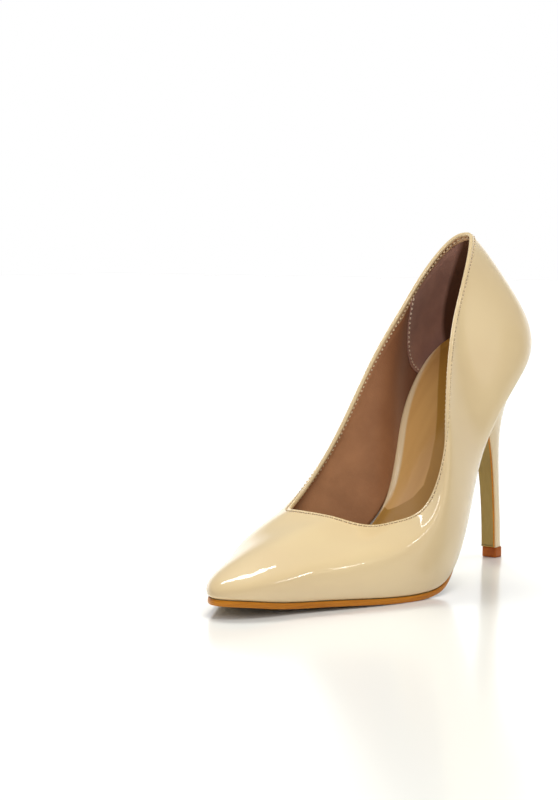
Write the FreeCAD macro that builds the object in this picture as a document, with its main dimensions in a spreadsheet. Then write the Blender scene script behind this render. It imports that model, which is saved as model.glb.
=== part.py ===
"""High heel pump, left foot: a stiletto court shoe as an assembly of separate pieces.

Frame: millimetres, +X to the toe, +Y to the wearer's left (the lateral side), +Z up.
The origin is the centre of the top piece's base, where the heel stands on the ground.

The upper's outer surface is a family of ribs, one cubic Bezier curve each, that run from the
feather line (the edge of the sole) up to the topline (the edge of the shoe's mouth). A place on
it is (around, up): around runs from 0 to 1 once round the shoe, from the toe along the lateral
side to the heel and back along the medial side, and up runs from 0 to 1 up a rib. Every layer of
the upper is a patch of that surface, set inward by its depth.

The bottom of the foot bed is a side profile. Boards, filler, sock and sole are plates: a plan
outline raised as a prism, and kept where it meets a band that follows the profile.
"""
import FreeCAD
import Part
import Sketcher
import bisect
import math
import os

from FreeCAD import Placement, Rotation, Vector

DIMENSIONS = [
    ("length_grade", 1.0),        # scales the last along X
    ("girth_grade", 1.0),         # scales the last along Y
    ("height_grade", 1.0),        # scales the last along Z
    ("leather", 1.0),             # patent leather of the upper
    ("middle_layer", 0.6),        # toe puff, counter and interlinings
    ("lining", 0.8),
    ("glue_gap", 0.05),
    ("seam_gap", 0.12),           # between two butted edges
    ("margin_width", 13.0),       # lasting margin turned under the insole
    ("insole_layer", 1.0),
    ("shank_board_layer", 1.2),
    ("foam_layer", 2.0),
    ("sock_layer", 0.8),
    ("sole_layer", 2.6),
    ("flap_layer", 1.2),          # the sole's flap down the heel breast
    ("flap_inset", 0.25),         # flap edge inside the breast's edge
    ("cover_layer", 0.8),         # patent leather round the heel
    ("board_inset", 2.8),         # insole edge inside the feather line
    ("sock_inset", 3.1),
    ("waist_inset", 3.4),         # sole edge inside the feather line at the waist
    ("margin_inset", 0.4),        # margin's outer edge inside the feather line, within the wall
    ("side_tape_width", 8.0),
    ("tip_height", 5.0),
    ("tip_length", 8.0),
    ("tip_width", 8.0),
    ("shank_width", 10.0),
    ("shank_layer", 0.9),
    ("tube_radius", 1.6),
    ("tube_bore", 1.15),
    ("tip_pin_radius", 1.1),
    ("rivet_radius", 1.5),
    ("screw_radius", 1.9),
    ("screw_head_radius", 3.4),
    ("screw_head_height", 1.0),
    ("screw_neck_height", 1.5),
    ("screw_point_length", 4.0),
    ("screw_length", 18.0),
    ("nail_radius", 0.8),
    ("nail_head_height", 0.5),
    ("nail_point_length", 2.0),
    ("nail_length", 13.0),
    ("sharp_radius", 0.15),       # radius left at the points of screw and nails
    ("drill_start", 0.2),         # how far a drill starts above the face it enters
    ("stitch_pitch", 2.3),
    ("stitch_length", 1.7),
    ("stitch_thickness", 0.4),
    ("stitch_setback", 2.6),      # from the topline down to the stitch row
    ("stitch_lift", 0.03),        # clear space under a stitch
    ("half_span", 70.0),          # half the width of the working bands
    ("prism_height", 200.0),
]

# Side profile of the foot bed at the feather line: (x, z).
PROFILE = [(-18, 111), (-12, 108), (13, 92.3), (40, 68), (64, 39.7), (88, 15), (104, 5.2),
           (118, 2.85), (140, 2.85), (165, 4.1), (188, 5.3), (203, 7.2), (220, 8.0)]

# Ribs of the last, from the toe round the lateral side, the heel and the medial side.
# feather x, y | topline x, y, z | shoulder x, y, z | lean out and rise at the feather
RIBS = [
    (209.3, 0, 123.5, -1, 32.5, 174, -1, 22.5, 4.5, 8),
    (207.2, 5.8, 121.5, 5, 31, 166.5, 8, 21, 4, 9),
    (184, 19.5, 111.5, 19.5, 31.5, 145.5, 31.5, 19, 3, 10),
    (153, 33, 99, 28, 38.5, 112, 41, 26, 4, 12),
    (118, 43, 84.5, 28.5, 65, 89, 36, 46, 4, 14),
    (83, 37.5, 68, 20, 95.5, 70, 23.5, 79.5, 4, 16),
    (50, 26.5, 49, 11.5, 124.5, 50, 14, 110, 4, 18),
    (22, 25.5, 33, 6, 144.5, 32.5, 12.5, 126, 5.5, 18),
    (-3, 17.5, 19.5, -1, 156.5, 12, 6, 139, 5.5, 18),
    (-12, -5, 15, -7, 159, -0.5, -3, 147.5, 3.5, 18),
    (-3, -24.5, 17.5, -13, 157, 6.5, -17, 139.5, 5, 18),
    (22, -29.5, 28.5, -19.5, 144.5, 27, -28, 126.5, 5, 18),
    (50, -21, 45, -24, 124, 45.5, -27.5, 110, 5, 18),
    (83, -11.5, 64.5, -29, 97, 66, -32, 80, 5, 16),
    (123, -34.5, 89, -32.5, 61, 91.5, -38.5, 45, 4, 14),
    (158, -35, 111, -33.5, 39, 122, -42.5, 27.5, 4, 12),
    (174, -27, 120.5, -31, 34.5, 140.5, -39, 26, 2.5, 11),
    (190, -17.5, 125.5, -23, 34.5, 157.5, -28, 23.5, 2.5, 10),
    (205, -7.5, 124.5, -7.5, 33.5, 170, -9, 24, 6.5, 9),
]

# Sections of the heel from the top piece up through the seat: back x, z | breast x, z | half
# width | centre y | fullness of the curved side (2 is an ellipse). The last lies above the seat.
HEEL_SECTIONS = [
    (-4.0, 5, 4.0, 5, 4.0, 0.0, 2.2),
    (-3.6, 20, 4.2, 20, 4.0, -0.2, 2.2),
    (-2.8, 38, 5.4, 38, 4.2, -0.5, 2.2),
    (-3.0, 54, 8.0, 53, 4.9, -0.9, 2.2),
    (-5.2, 67, 12.5, 64, 6.5, -1.3, 2.2),
    (-8.6, 78, 18.0, 71.5, 10.5, -1.7, 2.2),
    (-10.6, 90, 22.6, 76.5, 17.0, -2.2, 2.3),
    (-11.2, 102, 24.6, 81, 24.0, -2.6, 2.4),
    (-11.4, 114, 25.0, 91, 26.0, -2.8, 2.5),
]

# Seams, each from its place at the feather line to its place at the topline, and its forward bow.
SIDE_SEAM = (0.664, 0.795, 0.0)          # the upper's ends meet here, on the medial waist
LINING_SEAM_LATERAL = (0.420, 0.360, -0.015)
LINING_SEAM_MEDIAL = (0.583, 0.640, 0.015)

# Places round the shoe and heights up the ribs where the layers end.
LAYER_FOOT = 0.07
LINING_TOP = 0.99
TAPE_EDGES = (0.945, 0.985)
PUFF_ENDS = (0.86, 1.14)
PUFF_TOP = 0.55
COUNTER_ENDS = (0.40, 0.60)
COUNTER_TOP = 0.72
BACKER_TOP = 0.93
LAYER_BREAK = 0.01                       # clear space between neighbouring stiffeners
STITCHED_SEAM = (0.12, 0.94)             # heights where the lining's seam stitches start and end
STITCH_BESIDE_SEAM = 0.003               # their distance from the seam, as a place round the shoe

# Lengths along X of the plates.
HEEL_END = -11.5
BREAST = 25.2
BOARD_JOINT = 98.0
BOARD_TOE = 203.0
SOCK_TOE = 191.0
OPENING = (0.0, 176.0)                   # between the lasting margins
SHANK = (2.0, 90.0)
FILLER = (96.0, 175.0)
RIVETS = (14.0, 80.0)
SCREW_PLACE = (8.0, -2.4)
NAIL_PLACES = ((3.0, 8.0), (16.0, 11.0))  # x, and distance to each side of the seat's middle
TUBE_PLACE = (1.0, -0.3)
TUBE_ENDS = (5.4, 58.0)
TIP_PIN_ENDS = (2.0, 16.0)
WAIST = (68.0, 112.0)                    # the sole narrows over this stretch
BED_ENDS = (-17.5, 219.0)                # a little past the shoe's heel and toe
SEAT_END = 60.0                          # the heel ends well behind this
FLAP_PLACES = (0.006, 0.93)              # stretch of the heel sections that the flap covers
COVER_OPENING = 4.0                      # how far the heel cover's cavity reaches past the breast


class Spline:
    """Natural cubic spline through points of any number of coordinates."""

    def __init__(self, places, points):
        self.places = list(places)
        self.points = [tuple(p) for p in points]
        self.steps = [b - a for a, b in zip(self.places, self.places[1:])]
        self.bends = self.solve()

    def solve(self):
        count, size = len(self.places), len(self.points[0])
        upper = [0.0] * count
        right = [[0.0] * size for _ in range(count)]
        for i in range(1, count - 1):
            before, after = self.steps[i - 1], self.steps[i]
            pivot = 2 * (before + after) - before * upper[i - 1]
            upper[i] = after / pivot
            for k in range(size):
                rise = (self.points[i + 1][k] - self.points[i][k]) / after
                fall = (self.points[i][k] - self.points[i - 1][k]) / before
                right[i][k] = (6 * (rise - fall) - before * right[i - 1][k]) / pivot
        for i in range(count - 2, 0, -1):
            for k in range(size):
                right[i][k] -= upper[i] * right[i + 1][k]
        return right

    def at(self, place):
        last = len(self.places) - 2
        i = min(max(bisect.bisect_right(self.places, place) - 1, 0), last)
        step = self.steps[i]
        a = (self.places[i + 1] - place) / step
        b = (place - self.places[i]) / step
        low, high = (a ** 3 - a) * step * step / 6, (b ** 3 - b) * step * step / 6
        return tuple(a * p + b * q + low * m + high * n for p, q, m, n in zip(
            self.points[i], self.points[i + 1], self.bends[i], self.bends[i + 1]))


class Ring:
    """Closed spline: a Spline whose points are repeated past both ends."""

    OVERLAP = 5

    def __init__(self, places, points):
        n = self.OVERLAP
        before = [p - 1.0 for p in places[-n:]]
        after = [p + 1.0 for p in places[:n]]
        self.spline = Spline(before + list(places) + after, points[-n:] + points + points[:n])

    def at(self, place):
        return self.spline.at(place % 1.0)

    def outward(self, place):
        """Unit normal in plan, pointing out of a ring that runs anticlockwise from the toe."""
        step = 1e-4
        a, b = self.at(place - step), self.at(place + step)
        dx, dy = b[0] - a[0], b[1] - a[1]
        length = math.hypot(dx, dy)
        return dy / length, -dx / length


class Last:
    """The shape of the shoe's outside, worked out from the ribs and the side profile."""

    def __init__(self, length_grade, girth_grade, height_grade):
        grade = Vector(length_grade, girth_grade, height_grade)
        self.profile = Spline([x * grade.x for x, _ in PROFILE], [(z * grade.z,) for _, z in PROFILE])
        feather = [(r[0] * grade.x, r[1] * grade.y) for r in RIBS]
        topline = [(r[2] * grade.x, r[3] * grade.y, r[4] * grade.z) for r in RIBS]
        shoulder = [(r[5] * grade.x, r[6] * grade.y, r[7] * grade.z) for r in RIBS]
        places = self.chord_places([Vector(x, y, self.bed(x)) for x, y in feather])
        self.feather_ring = Ring(places, feather)
        self.topline_ring = Ring(places, topline)
        self.shoulder_ring = Ring(places, shoulder)
        self.lean_ring = Ring(places, [r[8:10] for r in RIBS])

    @staticmethod
    def chord_places(points):
        sums = [0.0]
        for a, b in zip(points, points[1:] + points[:1]):
            sums.append(sums[-1] + a.distanceToPoint(b))
        return [s / sums[-1] for s in sums[:-1]]

    def bed(self, x):
        return self.profile.at(x)[0]

    def bed_point(self, x, height):
        """Point at a height square to the side profile, as (x, z)."""
        step = 0.01
        slope = (self.bed(x + step) - self.bed(x - step)) / (2 * step)
        scale = height / math.hypot(1.0, slope)
        return x - slope * scale, self.bed(x) + scale

    def feather(self, around, inset=0.0):
        x, y = self.feather_ring.at(around)
        out_x, out_y = self.feather_ring.outward(around)
        return x - out_x * inset, y - out_y * inset

    def surface(self, around, up):
        fx, fy = self.feather_ring.at(around)
        foot = Vector(fx, fy, self.bed(fx))
        lean, rise = self.lean_ring.at(around)
        low = foot + Vector(*self.feather_ring.outward(around), 0) * lean + Vector(0, 0, rise)
        shoulder = Vector(*self.shoulder_ring.at(around))
        head = Vector(*self.topline_ring.at(around))
        down = 1 - up
        return (foot * down ** 3 + low * (3 * up * down ** 2)
                + shoulder * (3 * up ** 2 * down) + head * up ** 3)

    def inward(self, around, up):
        step = 1e-4
        along = self.surface(around + step, up) - self.surface(around - step, up)
        rise = self.surface(around, min(up + step, 1.0)) - self.surface(around, max(up - step, 0.0))
        normal = rise.cross(along)
        return normal.normalize()

    def point(self, around, up, depth=0.0):
        return self.surface(around, up) + self.inward(around, up) * depth

    def feather_length(self, count=200):
        points = [self.surface(place, 0.0) for place in spread(0.0, 1.0, count)]
        return sum(a.distanceToPoint(b) for a, b in zip(points, points[1:]))

    def half_widths(self, x):
        """y of the feather line at a given x, on the lateral and on the medial side."""
        lateral = self.cross(x, 0.0, 0.45)
        medial = self.cross(x, 1.0, 0.55)
        return lateral, medial

    def cross(self, x, toe_place, heel_place):
        front, back = toe_place, heel_place
        for _ in range(30):
            middle = (front + back) / 2
            if self.feather_ring.at(middle)[0] > x:
                front = middle
            else:
                back = middle
        return self.feather_ring.at((front + back) / 2)[1]


def spread(start, end, count):
    """Evenly spaced numbers from start to end, both included."""
    return [start + (end - start) * i / (count - 1) for i in range(count)]


def smooth_step(value, low, high):
    """0 below low, 1 above high, and a smooth rise between them."""
    t = min(max((value - low) / (high - low), 0.0), 1.0)
    return t * t * (3 - 2 * t)


# ---------------------------------------------------------------- free-form solids

def spline_poles(points):
    """Poles of the cubic through points at even parameters."""
    curve = Part.BSplineCurve()
    curve.interpolate(Points=points, Parameters=spread(0.0, 1.0, len(points)))
    return curve.getPoles(), curve.getKnots(), curve.getMultiplicities()


def grid_face(rows):
    """Smooth face through a grid of points."""
    along = [spline_poles(row) for row in rows]
    columns = [spline_poles(list(column)) for column in zip(*[poles for poles, _, _ in along])]
    poles = [column for column, _, _ in columns]
    surface = Part.BSplineSurface()
    surface.buildFromPolesMultsKnots(poles, along[0][2], columns[0][2], along[0][1], columns[0][1],
                                     False, False, 3, 3)
    return surface


def side_surface(outer, inner):
    """Straight-ruled surface between two splines of the same parameters."""
    surface = Part.BSplineSurface()
    knots, mults = outer.getKnots(), outer.getMultiplicities()
    poles = [list(pair) for pair in zip(outer.getPoles(), inner.getPoles())]
    surface.buildFromPolesMultsKnots(poles, mults, [2, 2], knots, [0.0, 1.0], False, False, outer.Degree, 1)
    return surface


def layer_solid(outer_rows, inner_rows):
    """Closed solid between two grids of points of the same size."""
    outer, inner = grid_face(outer_rows), grid_face(inner_rows)
    surfaces = [outer, inner]
    for value in (0.0, 1.0):
        surfaces.append(side_surface(outer.uIso(value), inner.uIso(value)))
        surfaces.append(side_surface(outer.vIso(value), inner.vIso(value)))
    shell = Part.Compound([surface.toShape() for surface in surfaces])
    shell.sewShape(0.001)
    solid = Part.Solid(shell.Shells[0])
    if solid.Volume < 0:
        solid.reverse()
    return solid


def seam_place(seam, up, shift=0.0):
    """Place of a seam at a height up the ribs, moved round the shoe by a shift."""
    lower, upper, bow = seam
    return lower + (upper - lower) * up + bow * math.sin(math.pi * up) + shift


def layer_patch(last, start, end, low, high, depth, thickness, columns, rows=9):
    """Patch of the upper between two places round the shoe, each a function of the height."""
    heights = spread(low, high, rows)
    outer, inner = [], []
    for up in heights:
        places = spread(start(up), end(up), columns)
        outer.append([last.point(place, up, depth) for place in places])
        inner.append([last.point(place, up, depth + thickness) for place in places])
    return layer_solid(outer, inner)


# ---------------------------------------------------------------- plates of the bottom

def closed_face(points):
    """Flat face inside a smooth closed outline."""
    curve = Part.BSplineCurve()
    curve.interpolate(Points=points, PeriodicFlag=True)
    return Part.Face(Part.Wire(curve.toShape()))


def open_spline(points):
    curve = Part.BSplineCurve()
    curve.interpolate(Points=points)
    return curve.toShape()


def framed_face(first, second):
    """Flat face between two open rows of points that run the same way."""
    edges = [open_spline(first), Part.makeLine(first[-1], second[-1]),
             open_spline(second), Part.makeLine(second[0], first[0])]
    return Part.Face(Part.Wire(edges))


def plan_face(last, inset, count=64):
    """Plan outline of the last, inset by a number or by a function of x."""
    points = []
    for i in range(count):
        around = i / count
        x, _ = last.feather(around)
        amount = inset(x) if callable(inset) else inset
        px, py = last.feather(around, amount)
        points.append(Vector(px, py, 0))
    return closed_face(points)


def strip_face(last, inset, start, end, count=16):
    """Plan outline between two places along X, inset from the feather line on both sides."""
    lateral, medial = [], []
    for x in spread(start, end, count):
        left, right = last.half_widths(x)
        lateral.append(Vector(x, left - inset, 0))
        medial.append(Vector(x, right + inset, 0))
    return framed_face(lateral, medial)


def band_face(last, low, high, start, end, half_span, count=40):
    """Side view of a layer between two heights above the bed."""
    rows = []
    for height in (low, high):
        pairs = [last.bed_point(x, height) for x in spread(start, end, count)]
        rows.append([Vector(x, -half_span, z) for x, z in pairs])
    return framed_face(*rows)


def seat_cap_face(last, height, start, end, half_span, top, count=40):
    """Side view of everything above a height over the bed."""
    pairs = [last.bed_point(x, height) for x in spread(start, end, count)]
    bed = [Vector(x, -half_span, z) for x, z in pairs]
    roof = [Vector(p.x, p.y, top) for p in (bed[0], bed[-1])]
    edges = [open_spline(bed), Part.makeLine(bed[-1], roof[1]),
             Part.makeLine(roof[1], roof[0]), Part.makeLine(roof[0], bed[0])]
    return Part.Face(Part.Wire(edges))


# ---------------------------------------------------------------- the heel

def heel_spline():
    """All heel section values as one spline from the top piece, at 0, to above the seat, at 1."""
    return Spline(spread(0.0, 1.0, len(HEEL_SECTIONS)), HEEL_SECTIONS)


def heel_wire(section, inset, forward=0.0, count=25):
    """Outline of a heel section: a flat breast and a full round side, set in by an inset."""
    back_x, back_z, breast_x, breast_z, half_width, centre_y, fullness = section
    breast = Vector(breast_x, centre_y, breast_z)
    rearward = Vector(back_x - breast_x, 0, back_z - breast_z)
    depth = rearward.Length - inset
    rearward.normalize()
    power = 2.0 / fullness
    curve = []
    for angle in spread(-math.pi / 2, math.pi / 2, count):
        run = depth * max(math.cos(angle), 0.0) ** power
        side = (half_width - inset) * math.copysign(abs(math.sin(angle)) ** power, angle)
        curve.append(breast + rearward * run + Vector(0, side, 0))
    if not forward:
        return Part.Wire([open_spline(curve), Part.makeLine(curve[-1], curve[0])])
    corners = [curve[-1] - rearward * forward, curve[0] - rearward * forward]
    return Part.Wire([open_spline(curve), Part.makeLine(curve[-1], corners[0]),
                      Part.makeLine(corners[0], corners[1]), Part.makeLine(corners[1], curve[0])])


def breast_band_face(thickness, gap, half_span, count=30):
    """Side view of the sole's flap against the heel breast."""
    heel = heel_spline()
    step = 0.004
    near, far = [], []
    for place in spread(*FLAP_PLACES, count):
        here, there = heel.at(place), heel.at(place + step)
        along = Vector(there[2] - here[2], 0, there[3] - here[3]).normalize()
        outward = Vector(along.z, 0, -along.x)
        foot = Vector(here[2], -half_span, here[3])
        near.append(foot + outward * gap)
        far.append(foot + outward * (gap + thickness))
    return framed_face(near, far)


def breast_front_face(inset, behind, count=24):
    """Front view of the flap, drawn behind the heel: the breast's width less an inset per side."""
    heel = heel_spline()
    lateral, medial = [], []
    for place in spread(0.0, 1.0, count):
        section = heel.at(place)
        half = section[4] - inset
        lateral.append(Vector(-behind, section[5] + half, section[3]))
        medial.append(Vector(-behind, section[5] - half, section[3]))
    return framed_face(lateral, medial)


# ---------------------------------------------------------------- stitches

def stitch(at, along, normal, length, thickness):
    """One thread float: a small rounded bar lying on a face."""
    across = normal.cross(along).normalize()
    bar = Part.makeBox(length, thickness, thickness, Vector(-length / 2, -thickness / 2, 0))
    matrix = FreeCAD.Matrix(along.x, across.x, normal.x, at.x, along.y, across.y, normal.y, at.y,
                            along.z, across.z, normal.z, at.z, 0, 0, 0, 1)
    bar.Placement = Placement(matrix)
    return bar


def even_places(points, pitch):
    """Fractions of a dense row of points at an even pitch along it."""
    sums = [0.0]
    for a, b in zip(points, points[1:]):
        sums.append(sums[-1] + a.distanceToPoint(b))
    count = int(sums[-1] / pitch)
    places = []
    for i in range(count):
        goal = (i + 0.5) * sums[-1] / count
        k = bisect.bisect_right(sums, goal) - 1
        places.append((k + (goal - sums[k]) / (sums[k + 1] - sums[k])) / (len(points) - 1))
    return places


def stitch_row(spot, depth, inside, pitch, length, thickness):
    """Stitches along spot(t) = (around, up) for t from 0 to 1, on one side of a layer."""
    dense = [last.point(*spot(t), depth) for t in spread(0.0, 1.0, 801)]
    step = 1e-3
    bars = []
    for t in even_places(dense, pitch):
        around, up = spot(t)
        normal = last.inward(around, up) * (1.0 if inside else -1.0)
        along = last.point(*spot(t + step), depth) - last.point(*spot(t - step), depth)
        along = (along - normal * along.dot(normal)).normalize()
        at = last.point(around, up, depth) + normal * size("stitch_lift")
        bars.append(stitch(at, along, normal, length, thickness))
    return bars


# ---------------------------------------------------------------- the document

doc = FreeCAD.newDocument("HighHeelPump")
sheet = doc.addObject("Spreadsheet::Sheet", "Dimensions")
for row, (alias, value) in enumerate(DIMENSIONS, 1):
    sheet.set("A%d" % row, alias)
    sheet.set("B%d" % row, str(value))
    sheet.setAlias("B%d" % row, alias)
doc.recompute()


def size(alias):
    return float(getattr(sheet, alias))


def bind(obj, **expressions):
    """Binds properties of an object to formulas over the sheet's aliases."""
    for name, formula in expressions.items():
        for alias, _ in DIMENSIONS:
            formula = formula.replace("{%s}" % alias, "Dimensions.%s" % alias)
        obj.setExpression(name, formula)
    return obj


last = Last(size("length_grade"), size("girth_grade"), size("height_grade"))
pieces = []


def piece(obj, label):
    """Marks an object as a sub-part, under its own label."""
    obj.Label = label
    pieces.append(obj)
    return obj


def helper(name, shape):
    obj = doc.addObject("Part::Feature", name)
    obj.Shape = shape
    return obj


def prism(name, face, direction, formula):
    """A flat face pushed out along a direction."""
    obj = doc.addObject("Part::Extrusion", name)
    obj.Base = helper(name + "_face", face)
    obj.DirMode = "Custom"
    obj.Dir = direction
    obj.Solid = True
    return bind(obj, LengthFwd=formula)


def upright(name, face):
    return prism(name, face, Vector(0, 0, 1), "{prism_height}")


def band(name, low, high, start, end):
    face = band_face(last, low, high, start, end, size("half_span"))
    return prism(name, face, Vector(0, 1, 0), "2 * {half_span}")


def pair(kind, name, base, tool):
    obj = doc.addObject("Part::" + kind, name)
    obj.Base = base
    obj.Tool = tool
    return obj


def joined(name, members):
    obj = doc.addObject("Part::MultiFuse", name)
    obj.Shapes = members
    return obj


def plate(name, face, low, high, start, end):
    """A layer of the bottom: a plan outline between two heights above the bed."""
    return pair("Common", name, upright(name + "_plan", face), band(name + "_band", low, high, start, end))


def cylinder(name, radius, height, placement):
    obj = doc.addObject("Part::Cylinder", name)
    obj.Placement = placement
    return bind(obj, Radius=radius, Height=height)


def cone(name, low_radius, high_radius, height, placement):
    obj = doc.addObject("Part::Cone", name)
    obj.Placement = placement
    return bind(obj, Radius1=low_radius, Radius2=high_radius, Height=height)


def square_to_bed(x, y, height):
    """Placement at a height above the bed whose +Z points down into the heel."""
    px, pz = last.bed_point(x, height)
    qx, qz = last.bed_point(x, height - 1.0)
    return Placement(Vector(px, y, pz), Rotation(Vector(0, 0, 1), Vector(qx - px, 0, qz - pz)))


def deeper(placement, distance):
    """The same placement moved along its own +Z."""
    return placement.multiply(Placement(Vector(0, 0, distance), Rotation()))


GAP = size("glue_gap")
LEATHER = size("leather")
MIDDLE = LEATHER + GAP
LINING = MIDDLE + size("middle_layer") + GAP
INSIDE = LINING + size("lining")
BOARD_LOW = LEATHER + GAP
BOARD_MID = BOARD_LOW + size("shank_board_layer") + GAP
BOARD_TOP = BOARD_MID + size("insole_layer")
FOAM_LOW = BOARD_TOP + GAP
SOCK_LOW = FOAM_LOW + size("foam_layer") + GAP
SOCK_TOP = SOCK_LOW + size("sock_layer")
FEATHER_LENGTH = last.feather_length()
SEAM_SHIFT = size("seam_gap") / 2 / FEATHER_LENGTH


def place_at(place):
    """A fixed place round the shoe, as a function of the height."""
    return lambda up: place


def along_seam(seam, shift=0.0):
    return lambda up: seam_place(seam, up, shift)


# ---- upper: the patent leather wall, and the lasting margin turned under the insole

def make_upper():
    wall = helper("upper_wall", layer_patch(
        last, along_seam(SIDE_SEAM, SEAM_SHIFT), along_seam(SIDE_SEAM, 1 - SEAM_SHIFT),
        0.0, 1.0, 0.0, LEATHER, 121, 13))
    margin = plate("margin_plate", plan_face(last, size("margin_inset")), 0.0, LEATHER, *BED_ENDS)
    opening = upright("margin_opening", strip_face(last, size("margin_width"), *OPENING))
    ring = pair("Cut", "lasting_margin", margin, opening)
    doc.recompute()
    piece(helper("upper_body", wall.Shape.fuse(ring.Shape)), "upper")


# ---- lining and the stiffeners between it and the upper

def make_layers():
    middle = size("middle_layer")
    tape_half = size("side_tape_width") / 2 / FEATHER_LENGTH
    front_of_tape = along_seam(SIDE_SEAM, tape_half + LAYER_BREAK / 2)
    behind_tape = along_seam(SIDE_SEAM, -tape_half - LAYER_BREAK / 2)
    puff_start, puff_end = PUFF_ENDS
    counter_start, counter_end = COUNTER_ENDS
    layers = [
        ("toe_puff", place_at(puff_start), place_at(puff_end), LAYER_FOOT, PUFF_TOP, MIDDLE, middle, 31),
        ("vamp_interlining", place_at(puff_start), place_at(puff_end), PUFF_TOP + 2 * LAYER_BREAK, BACKER_TOP,
         MIDDLE, middle, 31),
        ("lateral_interlining", place_at(puff_end - 1 + LAYER_BREAK), place_at(counter_start - LAYER_BREAK),
         LAYER_FOOT, BACKER_TOP, MIDDLE, middle, 25),
        ("medial_interlining", front_of_tape, place_at(puff_start - LAYER_BREAK),
         LAYER_FOOT, BACKER_TOP, MIDDLE, middle, 25),
        ("waist_interlining", place_at(counter_end + LAYER_BREAK), behind_tape,
         LAYER_FOOT, BACKER_TOP, MIDDLE, middle, 21),
        ("heel_counter", place_at(counter_start), place_at(counter_end),
         LAYER_FOOT, COUNTER_TOP, MIDDLE, middle, 31),
        ("side_seam_tape", along_seam(SIDE_SEAM, -tape_half), along_seam(SIDE_SEAM, tape_half),
         LAYER_FOOT, BACKER_TOP, MIDDLE, middle / 2, 7),
        ("topline_tape", along_seam(SIDE_SEAM, SEAM_SHIFT), along_seam(SIDE_SEAM, 1 - SEAM_SHIFT),
         *TAPE_EDGES, MIDDLE, middle / 2, 121),
        ("vamp_lining", along_seam(LINING_SEAM_MEDIAL, SEAM_SHIFT),
         along_seam(LINING_SEAM_LATERAL, 1 - SEAM_SHIFT),
         LAYER_FOOT, LINING_TOP, LINING, size("lining"), 101),
        ("heel_lining", along_seam(LINING_SEAM_LATERAL, SEAM_SHIFT),
         along_seam(LINING_SEAM_MEDIAL, -SEAM_SHIFT), LAYER_FOOT, LINING_TOP, LINING, size("lining"), 51),
    ]
    for label, start, end, low, high, depth, thickness, columns in layers:
        solid = layer_patch(last, start, end, low, high, depth, thickness, columns)
        piece(helper(label + "_body", solid), label)


def make_stitches():
    thread = (size("stitch_pitch"), size("stitch_length"), size("stitch_thickness"))

    step = 0.01

    def under_topline(t):
        around = t + SIDE_SEAM[1]
        rise = last.surface(around, 1.0) - last.surface(around, 1.0 - step)
        return around, 1.0 - step * size("stitch_setback") / rise.Length

    def beside_seam(seam):
        low, high = STITCHED_SEAM
        rearward = STITCH_BESIDE_SEAM if seam[0] < 0.5 else -STITCH_BESIDE_SEAM

        def spot(t):
            up = low + (high - low) * t
            return seam_place(seam, up, rearward), up
        return spot

    topline = stitch_row(under_topline, 0.0, False, *thread)
    piece(helper("topline_stitches_body", Part.Compound(topline)), "topline_stitches")
    lining = []
    for seam in (LINING_SEAM_LATERAL, LINING_SEAM_MEDIAL):
        lining += stitch_row(beside_seam(seam), INSIDE, True, *thread)
    piece(helper("heel_lining_stitches_body", Part.Compound(lining)), "heel_lining_stitches")


# ---- fasteners of the heel and shank, with the holes that they need

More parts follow.
